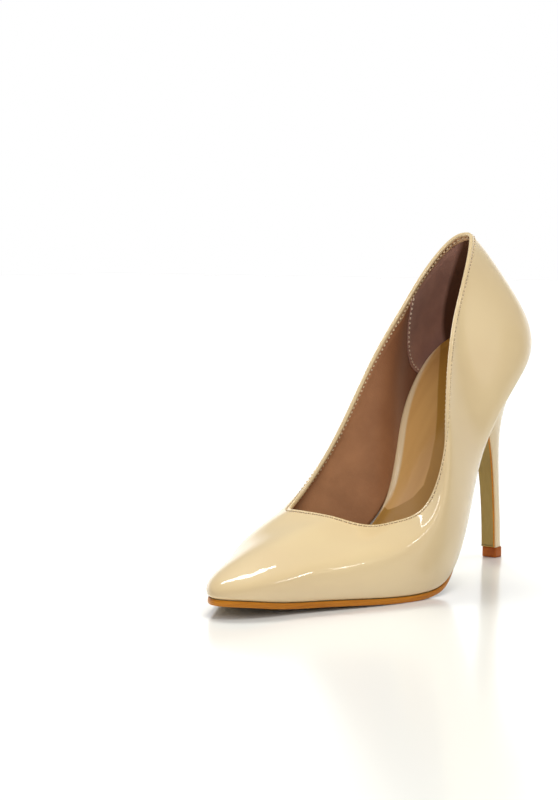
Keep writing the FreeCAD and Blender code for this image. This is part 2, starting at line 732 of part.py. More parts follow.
def make_fasteners():
    """Makes screw, nails and rivets, and returns the drills for their holes."""
    drills = {"head": [], "shaft": [], "rivet": []}
    above = -size("drill_start")
    at = square_to_bed(*SCREW_PLACE, BOARD_TOP)
    head, length = size("screw_head_height"), size("screw_length")
    parts = [
        cylinder("screw_head", "{screw_head_radius}", "{screw_head_height}", at),
        cone("screw_neck", "{screw_head_radius}", "{screw_radius}", "{screw_neck_height}", deeper(at, head)),
        cylinder("screw_shaft", "{screw_radius}",
                 "{screw_length} - {screw_head_height} - {screw_point_length}", deeper(at, head)),
        cone("screw_point", "{screw_radius}", "{sharp_radius}", "{screw_point_length}",
             deeper(at, length - size("screw_point_length"))),
    ]
    piece(joined("heel_screw_body", parts), "heel_screw")
    drills["head"].append(cylinder("screw_head_drill", "{screw_head_radius} + {glue_gap}",
                                   "{screw_head_height} + {insole_layer} + {shank_board_layer}",
                                   deeper(at, above)))
    drills["shaft"] += [
        cone("screw_neck_drill", "{screw_head_radius} + {glue_gap}", "{screw_radius} + {glue_gap}",
             "{screw_neck_height} + 2 * {glue_gap}", deeper(at, head)),
        cylinder("screw_shaft_drill", "{screw_radius} + {glue_gap}", "{screw_length} + {insole_layer}", at),
    ]
    nails = []
    for x, aside in NAIL_PLACES:
        for side in (-1, 1):
            number = len(nails)
            at = square_to_bed(x, SCREW_PLACE[1] + side * aside, BOARD_TOP)
            parts = [
                cylinder("nail_head_%d" % number, "2 * {nail_radius}", "{nail_head_height}", at),
                cylinder("nail_shaft_%d" % number, "{nail_radius}",
                         "{nail_length} - {nail_point_length}", at),
                cone("nail_point_%d" % number, "{nail_radius}", "{sharp_radius}", "{nail_point_length}",
                     deeper(at, size("nail_length") - size("nail_point_length"))),
            ]
            nails.append(joined("nail_%d" % number, parts))
            drills["head"].append(cylinder("nail_head_drill_%d" % number, "2 * {nail_radius} + {glue_gap}",
                                           "{nail_head_height} + {drill_start} + {glue_gap}",
                                           deeper(at, above)))
            drills["shaft"].append(cylinder("nail_shaft_drill_%d" % number, "{nail_radius} + {glue_gap}",
                                            "{nail_length} + {nail_head_height}", at))
    group = doc.addObject("Part::Compound", "heel_nails_body")
    group.Links = nails
    piece(group, "heel_nails")
    rivets = []
    for number, x in enumerate(RIVETS):
        middle = sum(last.half_widths(x)) / 2
        at = square_to_bed(x, middle, BOARD_MID - GAP)
        rivets.append(cylinder("rivet_%d" % number, "{rivet_radius}",
                               "{shank_board_layer} + {leather} - {glue_gap}", at))
        drills["rivet"].append(cylinder("rivet_drill_%d" % number, "{rivet_radius} + {glue_gap}",
                                        "{shank_board_layer} + {leather} + {insole_layer}",
                                        deeper(at, above)))
    group = doc.addObject("Part::Compound", "shank_rivets_body")
    group.Links = rivets
    piece(group, "shank_rivets")
    return {kind: joined(kind + "_drills", tools) for kind, tools in drills.items()}


def heel_loft(name, inset, forward=0.0):
    obj = doc.addObject("Part::Loft", name)
    obj.Sections = [helper("%s_section_%d" % (name, number), heel_wire(section, inset, forward))
                    for number, section in enumerate(HEEL_SECTIONS)]
    obj.Solid = True
    obj.Ruled = False
    return obj


def space_above_bed():
    face = seat_cap_face(last, -GAP, BED_ENDS[0], SEAT_END, size("half_span"), size("prism_height"))
    return prism("above_bed", face, Vector(0, 1, 0), "2 * {half_span}")


def drilled(name, base, *drills):
    for number, drill in enumerate(drills):
        base = pair("Cut", "%s_%d" % (name, number), base, drill)
    return base


# ---- foot bed: boards, shank, filler, foam and sock

def make_foot_bed(drills):
    inset = size("board_inset")
    board = plan_face(last, inset)
    shank_board = plate("shank_board_plate", board, BOARD_LOW, BOARD_MID - GAP, HEEL_END, BOARD_JOINT)
    piece(drilled("shank_board_drilled", shank_board, drills["shaft"], drills["rivet"]), "shank_board")
    top = plate("insole_top", board, BOARD_MID, BOARD_TOP, HEEL_END, BOARD_TOE)
    fore = plate("insole_fore", board, BOARD_LOW, BOARD_MID + 0.1, BOARD_JOINT + 1, BOARD_TOE)
    whole = joined("insole_whole", [top, fore])
    piece(drilled("insole_drilled", whole, drills["head"], drills["shaft"]), "insole_board")
    low, high = GAP, GAP + size("shank_layer")
    start, end = SHANK
    half = size("shank_width") / 2
    rows = [[], []]
    for x in spread(start, end, 8):
        middle = sum(last.half_widths(x)) / 2
        rows[0].append(Vector(x, middle + half, 0))
        rows[1].append(Vector(x, middle - half, 0))
    shank = plate("shank_plate", framed_face(*rows), low, high, start - 8, end + 8)
    piece(drilled("shank_drilled", shank, drills["shaft"], drills["rivet"]), "shank")
    filler = strip_face(last, size("margin_width") + 0.5, *FILLER)
    piece(plate("filler_plate", filler, low, high, FILLER[0] - 5, FILLER[1] + 5), "bottom_filler")
    sock = plan_face(last, size("sock_inset"))
    piece(plate("foam_plate", sock, FOAM_LOW, SOCK_LOW - GAP, HEEL_END, SOCK_TOE - 2), "sock_foam")
    piece(plate("sock_plate", sock, SOCK_LOW, SOCK_TOP, HEEL_END, SOCK_TOE), "sock_lining")


# ---- outsole: a plate under the fore part and waist, and a flap down the heel breast

def sole_inset(x):
    return size("waist_inset") * (1 - smooth_step(x, *WAIST))


def make_outsole(above_bed):
    sole = plate("sole_plate", plan_face(last, sole_inset), -size("sole_layer"), -GAP, BREAST, BED_ENDS[1])
    front = prism("flap_front", breast_front_face(size("flap_inset"), size("half_span")),
                  Vector(1, 0, 0), "2 * {half_span}")
    side = prism("flap_side", breast_band_face(size("flap_layer"), GAP, size("half_span")),
                 Vector(0, 1, 0), "2 * {half_span}")
    flap = pair("Cut", "sole_flap", pair("Common", "flap_strip", front, side), above_bed)
    whole = joined("sole_with_flap", [sole, flap])
    piece(pair("Cut", "outsole_body", whole, heel_loft("breast_loft", 0.0)), "outsole")


# ---- heel: plastic core, steel tube, leather cover, top piece and its pin

def make_heel(drills, above_bed):
    cover = size("cover_layer")
    x, y = TUBE_PLACE
    low, high = TUBE_ENDS
    tube_foot = Placement(Vector(x, y, low), Rotation())
    tube_drill = cylinder("tube_drill", "{tube_radius} + {glue_gap}", "%g mm" % (high - low + 1),
                          Placement(Vector(x, y, low - 0.5), Rotation()))
    core = pair("Cut", "core_below_seat", heel_loft("core_loft", cover + GAP), above_bed)
    piece(drilled("core_drilled", core, tube_drill, drills["shaft"]), "heel_core")
    shell = pair("Cut", "cover_below_seat", heel_loft("cover_loft", 0.0), above_bed)
    piece(pair("Cut", "cover_shell", shell, heel_loft("cavity_loft", cover, COVER_OPENING)), "heel_cover")
    outer = cylinder("tube_outer", "{tube_radius}", "%g mm" % (high - low), tube_foot)
    bore = cylinder("tube_inner", "{tube_bore}", "%g mm" % (high - low), tube_foot)
    piece(pair("Cut", "tube_body", outer, bore), "heel_tube")
    low, high = TIP_PIN_ENDS
    piece(cylinder("tip_pin_body", "{tip_pin_radius}", "%g mm" % (high - low),
                   Placement(Vector(x, y, low), Rotation())), "top_piece_pin")


def origin_plane(body, role):
    return next(plane for plane in body.Origin.OriginFeatures if plane.Role == role)


def make_top_piece():
    """D-shaped tip: flat towards the toe, round to the back, with a blind hole for its pin."""
    body = doc.addObject("PartDesign::Body", "top_piece_body")
    outline = body.newObject("Sketcher::SketchObject", "top_piece_outline")
    outline.AttachmentSupport = (origin_plane(body, "XY_Plane"), [""])
    outline.MapMode = "FlatFace"
    half, front = size("tip_width") / 2, size("tip_length") - size("tip_width") / 2
    arc = outline.addGeometry(Part.ArcOfCircle(Part.Circle(Vector(), Vector(0, 0, 1), half),
                                               math.pi / 2, 3 * math.pi / 2))
    lateral = outline.addGeometry(Part.LineSegment(Vector(0, half, 0), Vector(front, half, 0)))
    breast = outline.addGeometry(Part.LineSegment(Vector(front, half, 0), Vector(front, -half, 0)))
    medial = outline.addGeometry(Part.LineSegment(Vector(front, -half, 0), Vector(0, -half, 0)))
    constrain = outline.addConstraint
    constrain(Sketcher.Constraint("Coincident", arc, 3, -1, 1))
    constrain(Sketcher.Constraint("Coincident", arc, 1, lateral, 1))
    constrain(Sketcher.Constraint("Coincident", lateral, 2, breast, 1))
    constrain(Sketcher.Constraint("Coincident", breast, 2, medial, 1))
    constrain(Sketcher.Constraint("Coincident", medial, 2, arc, 2))
    constrain(Sketcher.Constraint("Horizontal", lateral))
    constrain(Sketcher.Constraint("Horizontal", medial))
    constrain(Sketcher.Constraint("Vertical", breast))
    radius = constrain(Sketcher.Constraint("Radius", arc, half))
    reach = constrain(Sketcher.Constraint("DistanceX", arc, 3, breast, 1, front))
    outline.renameConstraint(radius, "half_width")
    outline.renameConstraint(reach, "front_reach")
    outline.setExpression("Constraints.half_width", "Dimensions.tip_width / 2")
    outline.setExpression("Constraints.front_reach", "Dimensions.tip_length - Dimensions.tip_width / 2")
    pad = body.newObject("PartDesign::Pad", "top_piece_pad")
    pad.Profile = outline
    bind(pad, Length="{tip_height} - {glue_gap}")
    doc.recompute()
    before = body.Shape.Volume
    hole = body.newObject("Sketcher::SketchObject", "top_piece_hole")
    hole.AttachmentSupport = (origin_plane(body, "XY_Plane"), [""])
    hole.MapMode = "FlatFace"
    hole.AttachmentOffset = Placement(Vector(0, 0, size("tip_height")), Rotation())
    x, y = TUBE_PLACE
    bore = hole.addGeometry(Part.Circle(Vector(x, y, 0), Vector(0, 0, 1), size("tube_bore")))
    radius = hole.addConstraint(Sketcher.Constraint("Radius", bore, size("tube_bore")))
    hole.addConstraint(Sketcher.Constraint("DistanceX", -1, 1, bore, 3, x))
    hole.addConstraint(Sketcher.Constraint("DistanceY", -1, 1, bore, 3, y))
    hole.renameConstraint(radius, "bore")
    hole.setExpression("Constraints.bore", "Dimensions.tube_bore")
    pocket = body.newObject("PartDesign::Pocket", "top_piece_pocket")
    pocket.Profile = hole
    pocket.Length = size("tip_height") - TIP_PIN_ENDS[0] + GAP
    doc.recompute()
    if body.Shape.Volume >= before:
        raise RuntimeError("the pin hole removes nothing from the top piece")
    piece(body, "top_piece")


make_upper()
make_layers()
make_stitches()
drills = make_fasteners()
make_foot_bed(drills)
above_bed = space_above_bed()
make_outsole(above_bed)
make_heel(drills, above_bed)
make_top_piece()
doc.recompute()

for obj in doc.Objects:
    if "Invalid" in obj.State or "Error" in obj.State:
        raise RuntimeError("%s failed: %s" % (obj.Label, obj.State))
os.makedirs("parts", exist_ok=True)
for obj in pieces:
    if obj.Shape.isNull() or not obj.Shape.isValid() or not obj.Shape.Solids:
        raise RuntimeError("%s has no valid solid" % obj.Label)
    print("%-22s %2d solids %9.1f mm3" % (obj.Label, len(obj.Shape.Solids), obj.Shape.Volume))
for obj in pieces:
    obj.Shape.exportStep("parts/%s.step" % obj.Label)
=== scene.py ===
"""Looks of the high heel pump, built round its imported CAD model.

Lengths are in millimetres in the CAD's own frame (+X to the toe, +Y to the lateral side, +Z up,
origin under the heel tip) and become metres where a mesh or light is made.

The outside of the shoe is a family of ribs, as in the CAD: cubic Bezier curves from the feather
line up to the topline. A place round the shoe runs from 0 to 1, from the toe along the lateral
side to the heel and back along the medial side. Leather pieces are swept round those ribs from a
cross-section given as (distance below the topline, depth into the wall).
"""

import math

import bmesh
import bpy
import numpy as np
from mathutils import Matrix, Vector


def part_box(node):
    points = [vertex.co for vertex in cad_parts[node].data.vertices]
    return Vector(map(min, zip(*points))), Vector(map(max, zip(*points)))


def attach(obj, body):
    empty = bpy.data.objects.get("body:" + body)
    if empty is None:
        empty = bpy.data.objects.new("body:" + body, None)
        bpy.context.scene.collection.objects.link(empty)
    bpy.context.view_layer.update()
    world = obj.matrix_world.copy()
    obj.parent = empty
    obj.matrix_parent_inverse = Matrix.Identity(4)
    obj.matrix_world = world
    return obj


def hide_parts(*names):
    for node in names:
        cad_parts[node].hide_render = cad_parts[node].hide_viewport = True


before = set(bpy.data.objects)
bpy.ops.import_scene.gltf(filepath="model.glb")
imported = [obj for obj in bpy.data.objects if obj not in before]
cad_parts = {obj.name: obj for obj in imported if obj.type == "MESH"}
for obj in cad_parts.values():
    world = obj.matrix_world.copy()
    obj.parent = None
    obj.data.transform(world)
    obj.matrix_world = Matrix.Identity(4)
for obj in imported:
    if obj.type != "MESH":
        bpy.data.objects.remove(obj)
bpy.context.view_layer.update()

MM = 0.001
BODY = "root"

# Side profile of the foot bed at the feather line: (x, z).
PROFILE = [(-18, 111), (-12, 108), (13, 92.3), (40, 68), (64, 39.7), (88, 15), (104, 5.2),
           (118, 2.85), (140, 2.85), (165, 4.1), (188, 5.3), (203, 7.2), (220, 8.0)]

# Ribs from the toe round the lateral side, the heel and the medial side:
# feather x, y | topline x, y, z | shoulder x, y, z | lean out and rise at the feather.
RIBS = [
    (209.3, 0, 123.5, -1, 32.5, 174, -1, 22.5, 4.5, 8),
    (207.2, 5.8, 121.5, 5, 31, 166.5, 8, 21, 4, 9),
    (184, 19.5, 111.5, 19.5, 31.5, 145.5, 31.5, 19, 3, 10),
    (153, 33, 99, 28, 38.5, 112, 41, 26, 4, 12),
    (118, 43, 84.5, 28.5, 65, 89, 36, 46, 4, 14),
    (83, 37.5, 68, 20, 95.5, 70, 23.5, 79.5, 4, 16),
    (50, 26.5, 49, 11.5, 124.5, 50, 14, 110, 4, 18),
    (22, 25.5, 33, 6, 144.5, 32.5, 12.5, 126, 5.5, 18),
    (-3, 17.5, 19.5, -1, 156.5, 12, 6, 139, 5.5, 18),
    (-12, -5, 15, -7, 159, -0.5, -3, 147.5, 3.5, 18),
    (-3, -24.5, 17.5, -13, 157, 6.5, -17, 139.5, 5, 18),
    (22, -29.5, 28.5, -19.5, 144.5, 27, -28, 126.5, 5, 18),
    (50, -21, 45, -24, 124, 45.5, -27.5, 110, 5, 18),
    (83, -11.5, 64.5, -29, 97, 66, -32, 80, 5, 16),
    (123, -34.5, 89, -32.5, 61, 91.5, -38.5, 45, 4, 14),
    (158, -35, 111, -33.5, 39, 122, -42.5, 27.5, 4, 12),
    (174, -27, 120.5, -31, 34.5, 140.5, -39, 26, 2.5, 11),
    (190, -17.5, 125.5, -23, 34.5, 157.5, -28, 23.5, 2.5, 10),
    (205, -7.5, 124.5, -7.5, 33.5, 170, -9, 24, 6.5, 9),
]

# Sections of the heel from the tip up through the seat: back x, z | breast x, z | half width |
# centre y | fullness of the curved side.
HEEL_SECTIONS = [
    (-4.0, 5, 4.0, 5, 4.0, 0.0, 2.2),
    (-3.6, 20, 4.2, 20, 4.0, -0.2, 2.2),
    (-2.8, 38, 5.4, 38, 4.2, -0.5, 2.2),
    (-3.0, 54, 8.0, 53, 4.9, -0.9, 2.2),
    (-5.2, 67, 12.5, 64, 6.5, -1.3, 2.2),
    (-8.6, 78, 18.0, 71.5, 10.5, -1.7, 2.2),
    (-10.6, 90, 22.6, 76.5, 17.0, -2.2, 2.3),
    (-11.2, 102, 24.6, 81, 24.0, -2.6, 2.4),
    (-11.4, 114, 25.0, 91, 26.0, -2.8, 2.5),
]

# Line in plan past which the sock's outer side takes painted shade from the lateral wall: (x, y).
SOCK_SHADE = [(0, -32), (33, -11.3), (45, -3.4), (53, 1.2), (63, 5.0), (70, 6.5), (75, 3.5), (79, -4),
              (82, -12)]

# Seams, each from its place at the feather line to its place at the topline, and its forward bow.
SIDE_SEAM = (0.664, 0.795)
LINING_SEAM_LATERAL = (0.420, 0.360, -0.015)
LINING_SEAM_MEDIAL = (0.583, 0.640, 0.015)

LEATHER = 0.95           # thickness of the upper's leather
RIM = 0.95               # radius of the folded edge round the mouth
FOLD = 4.2               # how far the folded edge reaches down inside
STITCH_ROW = 2.6         # distance of the stitches below the edge
STITCH_PITCH = 2.3
STITCH_SHARE = 0.62      # how much of the pitch a stitch covers
GROOVE = 0.14            # how deep the stitches pull the leather in
WALL = 2.5               # depth of the lining's face away from the edge
EDGE_WALL = 1.9          # and its depth at the edge, where the layers are skived
SOLE = 2.6               # sole thickness under the fore part
WAIST_SOLE = 1.5
FLAP = 1.2               # the sole's flap down the heel breast
WAIST_INSET = 3.4
GLUE = 0.05
SOCK_BASE, SOCK_TOP = 3.4, 6.2
TIP_HEIGHT = 5.0


# ---------------------------------------------------------------- curves of the last

class Spline:
    """Natural cubic spline through points of any number of coordinates."""

    def __init__(self, places, points):
        self.places = np.asarray(places, float)
        self.points = np.asarray(points, float)
        steps = np.diff(self.places)
        slopes = np.diff(self.points, axis=0) / steps[:, None]
        system = np.eye(len(self.places))
        right = np.zeros_like(self.points)
        for i in range(1, len(self.places) - 1):
            system[i, i - 1:i + 2] = steps[i - 1], 2 * (steps[i - 1] + steps[i]), steps[i]
            right[i] = 6 * (slopes[i] - slopes[i - 1])
        self.bends = np.linalg.solve(system, right)

    def at(self, place):
        place = np.asarray(place, float)
        i = np.clip(np.searchsorted(self.places, place, side="right") - 1, 0, len(self.places) - 2)
        step = (self.places[i + 1] - self.places[i])[..., None]
        b = (place - self.places[i])[..., None] / step
        a = 1 - b
        return (a * self.points[i] + b * self.points[i + 1]
                + ((a ** 3 - a) * self.bends[i] + (b ** 3 - b) * self.bends[i + 1]) * step ** 2 / 6)


class Ring:
    """Closed spline: a Spline whose points are repeated past both ends."""

    OVERLAP = 5

    def __init__(self, places, points):
        n = self.OVERLAP
        places = np.asarray(places, float)
        points = np.asarray(points, float)
        self.spline = Spline(np.concatenate([places[-n:] - 1, places, places[:n] + 1]),
                             np.concatenate([points[-n:], points, points[:n]]))

    def at(self, place):
        return self.spline.at(np.mod(place, 1.0))


def closed(line):
    """A line of points with its first one again at the end."""
    return np.concatenate([line, line[:1]])


def line_sums(line):
    """Length along a line up to each of its points."""
    steps = np.linalg.norm(np.diff(line, axis=0), axis=-1)
    return np.concatenate([np.zeros_like(steps[:1]), np.cumsum(steps, axis=0)])


def read_line(goals, sums, line):
    """What a line holds at given lengths along it."""
    return np.stack([np.interp(goals, sums, line[:, k]) for k in range(line.shape[1])], -1)


def unit(vectors):
    return vectors / np.linalg.norm(vectors, axis=-1, keepdims=True)


def smooth_step(value, low, high):
    """0 below low, 1 above high and a soft rise between."""
    t = np.clip((value - low) / (high - low), 0, 1)
    return t * t * (3 - 2 * t)


def bump_at(value, centre, width):
    """A smooth hump of height 1."""
    return np.exp(-((value - centre) / width) ** 2)


bed_spline = Spline([x for x, _ in PROFILE], [(z,) for _, z in PROFILE])
heel_spline = Spline(np.linspace(0, 1, len(HEEL_SECTIONS)), HEEL_SECTIONS)


def bed(x):
    """Height of the side profile."""
    return bed_spline.at(x)[..., 0]


def bed_normal(x):
    """Unit normal of the side profile, upwards."""
    step = 0.01
    slope = (bed(x + step) - bed(x - step)) / (2 * step)
    return unit(np.stack([-slope, np.zeros_like(slope), np.ones_like(slope)], -1))


def over_bed(x, y, height):
    """Point over a plan position, at a height square to the side profile."""
    x, y, height = np.broadcast_arrays(np.asarray(x, float), y, height)
    return np.stack([x, y, bed(x)], -1) + bed_normal(x) * height[..., None]


ribs = np.array(RIBS, float)
rib_feet = np.stack([ribs[:, 0], ribs[:, 1], bed(ribs[:, 0])], -1)
rib_sums = line_sums(closed(rib_feet))
rib_places = rib_sums[:-1] / rib_sums[-1]
feather_ring = Ring(rib_places, ribs[:, 0:2])
topline_ring = Ring(rib_places, ribs[:, 2:5])
shoulder_ring = Ring(rib_places, ribs[:, 5:8])
lean_ring = Ring(rib_places, ribs[:, 8:10])


def outward(place):
    """Unit normal of the feather line in plan, out of the shoe."""
    step = 1e-4
    run = feather_ring.at(place + step) - feather_ring.at(place - step)
    return unit(np.stack([run[..., 1], -run[..., 0]], -1))


def surface(place, up):
    """The upper's outer face."""
    place, up = np.broadcast_arrays(np.asarray(place, float), np.asarray(up, float))
    foot_plan = feather_ring.at(place)
    foot = np.concatenate([foot_plan, bed(foot_plan[..., 0])[..., None]], -1)
    lean_rise = lean_ring.at(place)
    low = foot.copy()
    low[..., :2] += outward(place) * lean_rise[..., :1]
    low[..., 2] += lean_rise[..., 1]
    t = up[..., None]
    return (foot * (1 - t) ** 3 + low * 3 * t * (1 - t) ** 2
            + shoulder_ring.at(place) * 3 * t ** 2 * (1 - t) + topline_ring.at(place) * t ** 3)


def inward(place, up):
    """Unit normal of the upper's outer face, into the shoe."""
    step = 1e-4
    along = surface(place + step, up) - surface(place - step, up)
    rise = surface(place, np.minimum(up + step, 1)) - surface(place, np.maximum(up - step, 0))
    return unit(np.cross(rise, along))


# ---------------------------------------------------------------- sweeping round the ribs

class Wall:
    """Columns of the upper's wall. A column may lean along the shoe as it rises, so that a seam
    can follow one. Points are asked for by distance below the topline and depth into the wall."""

    HEIGHTS = np.linspace(0, 1, 121)

    def __init__(self, columns):
        """columns(up) gives the place of every column at a height, as an array."""
        self.columns = columns
        self.places = np.stack([columns(up) for up in self.HEIGHTS])
        path = surface(self.places, self.HEIGHTS[:, None])
        self.from_foot = line_sums(path)
        self.lengths = self.from_foot[-1]

    def spot(self, below):
        """(place, up) of each column at a distance below the topline."""
        goal = self.lengths - below
        count = len(self.lengths)
        up = np.array([np.interp(goal[c], self.from_foot[:, c], self.HEIGHTS) for c in range(count)])
        place = np.array([np.interp(up[c], self.HEIGHTS, self.places[:, c]) for c in range(count)])
        return place, up

    def at(self, below, depth):
        place, up = self.spot(below)
        depth = np.broadcast_to(depth, up.shape)
        return surface(place, up) + inward(place, up) * depth[:, None]


def ripple(points, size, seed):
    """Gentle uneven waves from -1 to 1 over a set of points, about `size` across."""
    rng = np.random.default_rng(seed)
    total = np.zeros(points.shape[:-1])
    for _ in range(7):
        direction = unit(rng.normal(size=3))
        wave = 2 * math.pi / (size * rng.uniform(0.7, 1.6))
        total += np.sin(points @ direction * wave + rng.uniform(0, 2 * math.pi))
    return total / 4


# ---------------------------------------------------------------- meshes

def add_object(name, data):
    obj = bpy.data.objects.new(name, data)
    bpy.context.scene.collection.objects.link(obj)
    return obj


def make_object(name, points, faces, materials, uv=None, slots=None, sharp=None):
    """A mesh object from points in millimetres. uv has one pair per face corner."""
    mesh = bpy.data.meshes.new(name)
    mesh.from_pydata((np.asarray(points, float) * MM).tolist(), [], faces)
    if uv is not None:
        mesh.uv_layers.new(name="UVMap").data.foreach_set("uv", np.asarray(uv, np.float32).ravel())
    for material in materials:
        mesh.materials.append(material)
    if slots is not None:
        mesh.polygons.foreach_set("material_index", np.asarray(slots, np.int32))
    work = bmesh.new()
    work.from_mesh(mesh)
    bmesh.ops.recalc_face_normals(work, faces=work.faces)
    work.to_mesh(mesh)
    work.free()
    mesh.shade_smooth()
    if sharp is not None:
        mesh.set_sharp_from_angle(angle=math.radians(sharp))
    return add_object(name, mesh)


def grid_quads(rows, columns, wrap_rows, wrap_columns):
    """Row and column of the first corner of each quad in a grid of points."""
    r = np.arange(rows if wrap_rows else rows - 1)
    c = np.arange(columns if wrap_columns else columns - 1)
    return [a.ravel() for a in np.meshgrid(r, c, indexing="ij")]


def grid_faces(rows, columns, wrap_rows=False, wrap_columns=False):
    """Quads over a grid of rows x columns points, as an index array."""
    r, c = grid_quads(rows, columns, wrap_rows, wrap_columns)
    r1, c1 = (r + 1) % rows, (c + 1) % columns
    return np.stack([r * columns + c, r * columns + c1, r1 * columns + c1, r1 * columns + c], -1)


def corner_values(values, rows, columns, wrap_rows=False, wrap_columns=False):
    """Face-corner values from a grid that has one more row or column where the faces wrap."""
    wide = columns + int(wrap_columns)
    r, c = grid_quads(rows, columns, wrap_rows, wrap_columns)
    index = np.stack([r * wide + c, r * wide + c + 1, (r + 1) * wide + c + 1, (r + 1) * wide + c], -1)
    return values.reshape(-1, 2)[index.ravel()]


def thicken(obj, thickness, shown):
    """Gives a skin a thickness behind its face. `shown` is the way that face looks at the middle
    of the skin."""
    middle = obj.data.polygons[len(obj.data.polygons) // 2]
    solidify = obj.modifiers.new("Solidify", "SOLIDIFY")
    solidify.thickness = thickness * MM
    solidify.offset = -1.0 if Vector(shown).dot(middle.normal) > 0 else 1.0


def place_piece(obj, slot, *nodes):
    """Hangs a finished piece on the shoe in place of CAD nodes."""
    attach(obj, BODY)
    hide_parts(*nodes)


# ---------------------------------------------------------------- materials

def srgb(red, green, blue):
    """Linear colour from 8-bit sRGB values."""
    def linear(value):
        value /= 255
        return value / 12.92 if value <= 0.04045 else ((value + 0.055) / 1.055) ** 2.4
    return (linear(red), linear(green), linear(blue), 1.0)


def dimmed(tone, share):
    return tuple(channel * share for channel in tone[:3]) + (1.0,)


WHITE, BLACK = (1.0, 1.0, 1.0, 1.0), (0.0, 0.0, 0.0, 1.0)


class Nodes:
    """Short names for the nodes used here. Values that nodes hand on are their output sockets."""

    def __init__(self, tree, place):
        self.nodes = tree.nodes
        self.links = tree.links
        self.coords = self.nodes.new("ShaderNodeTexCoord").outputs
        self.place = self.coords[place]

    def feed(self, socket, value):
        """Sets an input to a value or links it, or leaves it when there is none."""
        if isinstance(value, bpy.types.NodeSocket):
            self.links.new(value, socket)
        elif value is not None:
            socket.default_value = value

    def add(self, kind, inputs, **settings):
        """A new node's outputs. The settings come first, as they can change the inputs."""
        node = self.nodes.new(kind)
        for key, value in settings.items():
            setattr(node, key, value)
        for key, value in inputs.items():
            self.feed(node.inputs[key], value)
        return node.outputs

    def math(self, operation, first, second=0.0, third=None):
        inputs = {0: first, 1: second, 2: third}
        return self.add("ShaderNodeMath", inputs, operation=operation)["Value"]

    def ramp(self, value, low, high):
        """Colour between two (position, colour) stops."""
        node = self.nodes.new("ShaderNodeValToRGB")
        for element, (position, colour) in zip(node.color_ramp.elements, (low, high)):
            element.position = position
            element.color = colour
        self.feed(node.inputs["Fac"], value)
        return node.outputs["Color"]


class Material(Nodes):
    """A node material. Its patterns lie in the object's own coordinates."""

    def __init__(self, name, **shader):
        self.material = bpy.data.materials.new(name)
        self.material.use_nodes = True
        super().__init__(self.material.node_tree, "Object")
        self.shader = self.nodes["Principled BSDF"].inputs
        for key, value in shader.items():
            self.shader[key.replace("_", " ")].default_value = value

    def split(self, name):
        """X, Y and Z of a kind of coordinates."""
        return self.add("ShaderNodeSeparateXYZ", {"Vector": self.coords[name]})

    def mapped(self, scale):
        """Coordinates stretched by a scale per axis."""
        return self.add("ShaderNodeMapping", {"Vector": self.place, "Scale": scale})["Vector"]

    def noise(self, scale, detail=3.0, roughness=0.5, distortion=0.0, vector=None):
        inputs = {"Vector": vector or self.place, "Scale": scale, "Detail": detail,
                  "Roughness": roughness, "Distortion": distortion}
        return self.add("ShaderNodeTexNoise", inputs)["Fac"]

    def cells(self, scale):
        return self.add("ShaderNodeTexVoronoi", {"Vector": self.place, "Scale": scale})["Distance"]

    def waves(self, scale, direction, distortion=0.0):
        inputs = {"Vector": self.place, "Scale": scale, "Distortion": distortion}
        return self.add("ShaderNodeTexWave", inputs, bands_direction=direction)["Fac"]

    def spread(self, value, low, high):
        """A value from 0 to 1 stretched to a range."""
        inputs = {"Value": value, "To Min": low, "To Max": high}
        return self.add("ShaderNodeMapRange", inputs)["Result"]

    def mix(self, factor, first, second):
        inputs = {"Factor": factor, "A": first, "B": second}
        return self.add("ShaderNodeMix", inputs, data_type="RGBA")["Result"]

    def bump(self, height, distance, under=None):
        """Bump of a height map whose full range is a distance in millimetres."""
        inputs = {"Strength": 1.0, "Distance": distance * MM, "Height": height, "Normal": under}
        return self.add("ShaderNodeBump", inputs)["Normal"]

    def colour(self, value):
        self.feed(self.shader["Base Color"], value)

    def tones(self, value, low, high):
        self.colour(self.ramp(value, low, high))

    def rough(self, value, low, high):
        self.feed(self.shader["Roughness"], self.spread(value, low, high))

    def normal(self, value):
        self.feed(self.shader["Normal"], value)


def patent_leather(name, tone, deep_tone, stitched=False):
    """Beige patent leather: a soft grain under a thick glossy coat. On the stitched one the UV
    map counts stitches across and distance below the edge up, which is negative on the fold."""
    m = Material(name, Roughness=0.42, Coat_Weight=1.0, Coat_Roughness=0.03, Coat_IOR=1.5)
    colour = m.ramp(m.noise(22.0, 2.0), (0.3, deep_tone), (0.7, tone))
    swell = m.bump(m.noise(55.0, 0.0), 0.03)
    normal = m.bump(m.noise(330.0, 1.0), 0.010, under=swell)
    if stitched:
        hole_reach, row_reach, fold_start = 0.2, 0.42, -1.3
        spot = m.split("UV")
        stitches, below = spot["X"], spot["Y"]
        near_hole = m.math("LESS_THAN", m.math("PINGPONG", stitches, 0.5), hole_reach)
        row_gap = m.math("ABSOLUTE", m.math("SUBTRACT", m.math("ABSOLUTE", below), STITCH_ROW))
        hole = m.math("MULTIPLY", near_hole, m.math("LESS_THAN", row_gap, row_reach))
        folded = m.math("LESS_THAN", below, fold_start)
        flesh = m.ramp(m.noise(500.0, 2.0), (0.3, srgb(176, 132, 98)), (0.7, srgb(226, 190, 146)))
        colour = m.mix(hole, m.mix(folded, colour, flesh), srgb(112, 76, 46))
    m.colour(colour)
    m.normal(normal)
    m.feed(m.shader["Coat Normal"], normal)
    return m.material


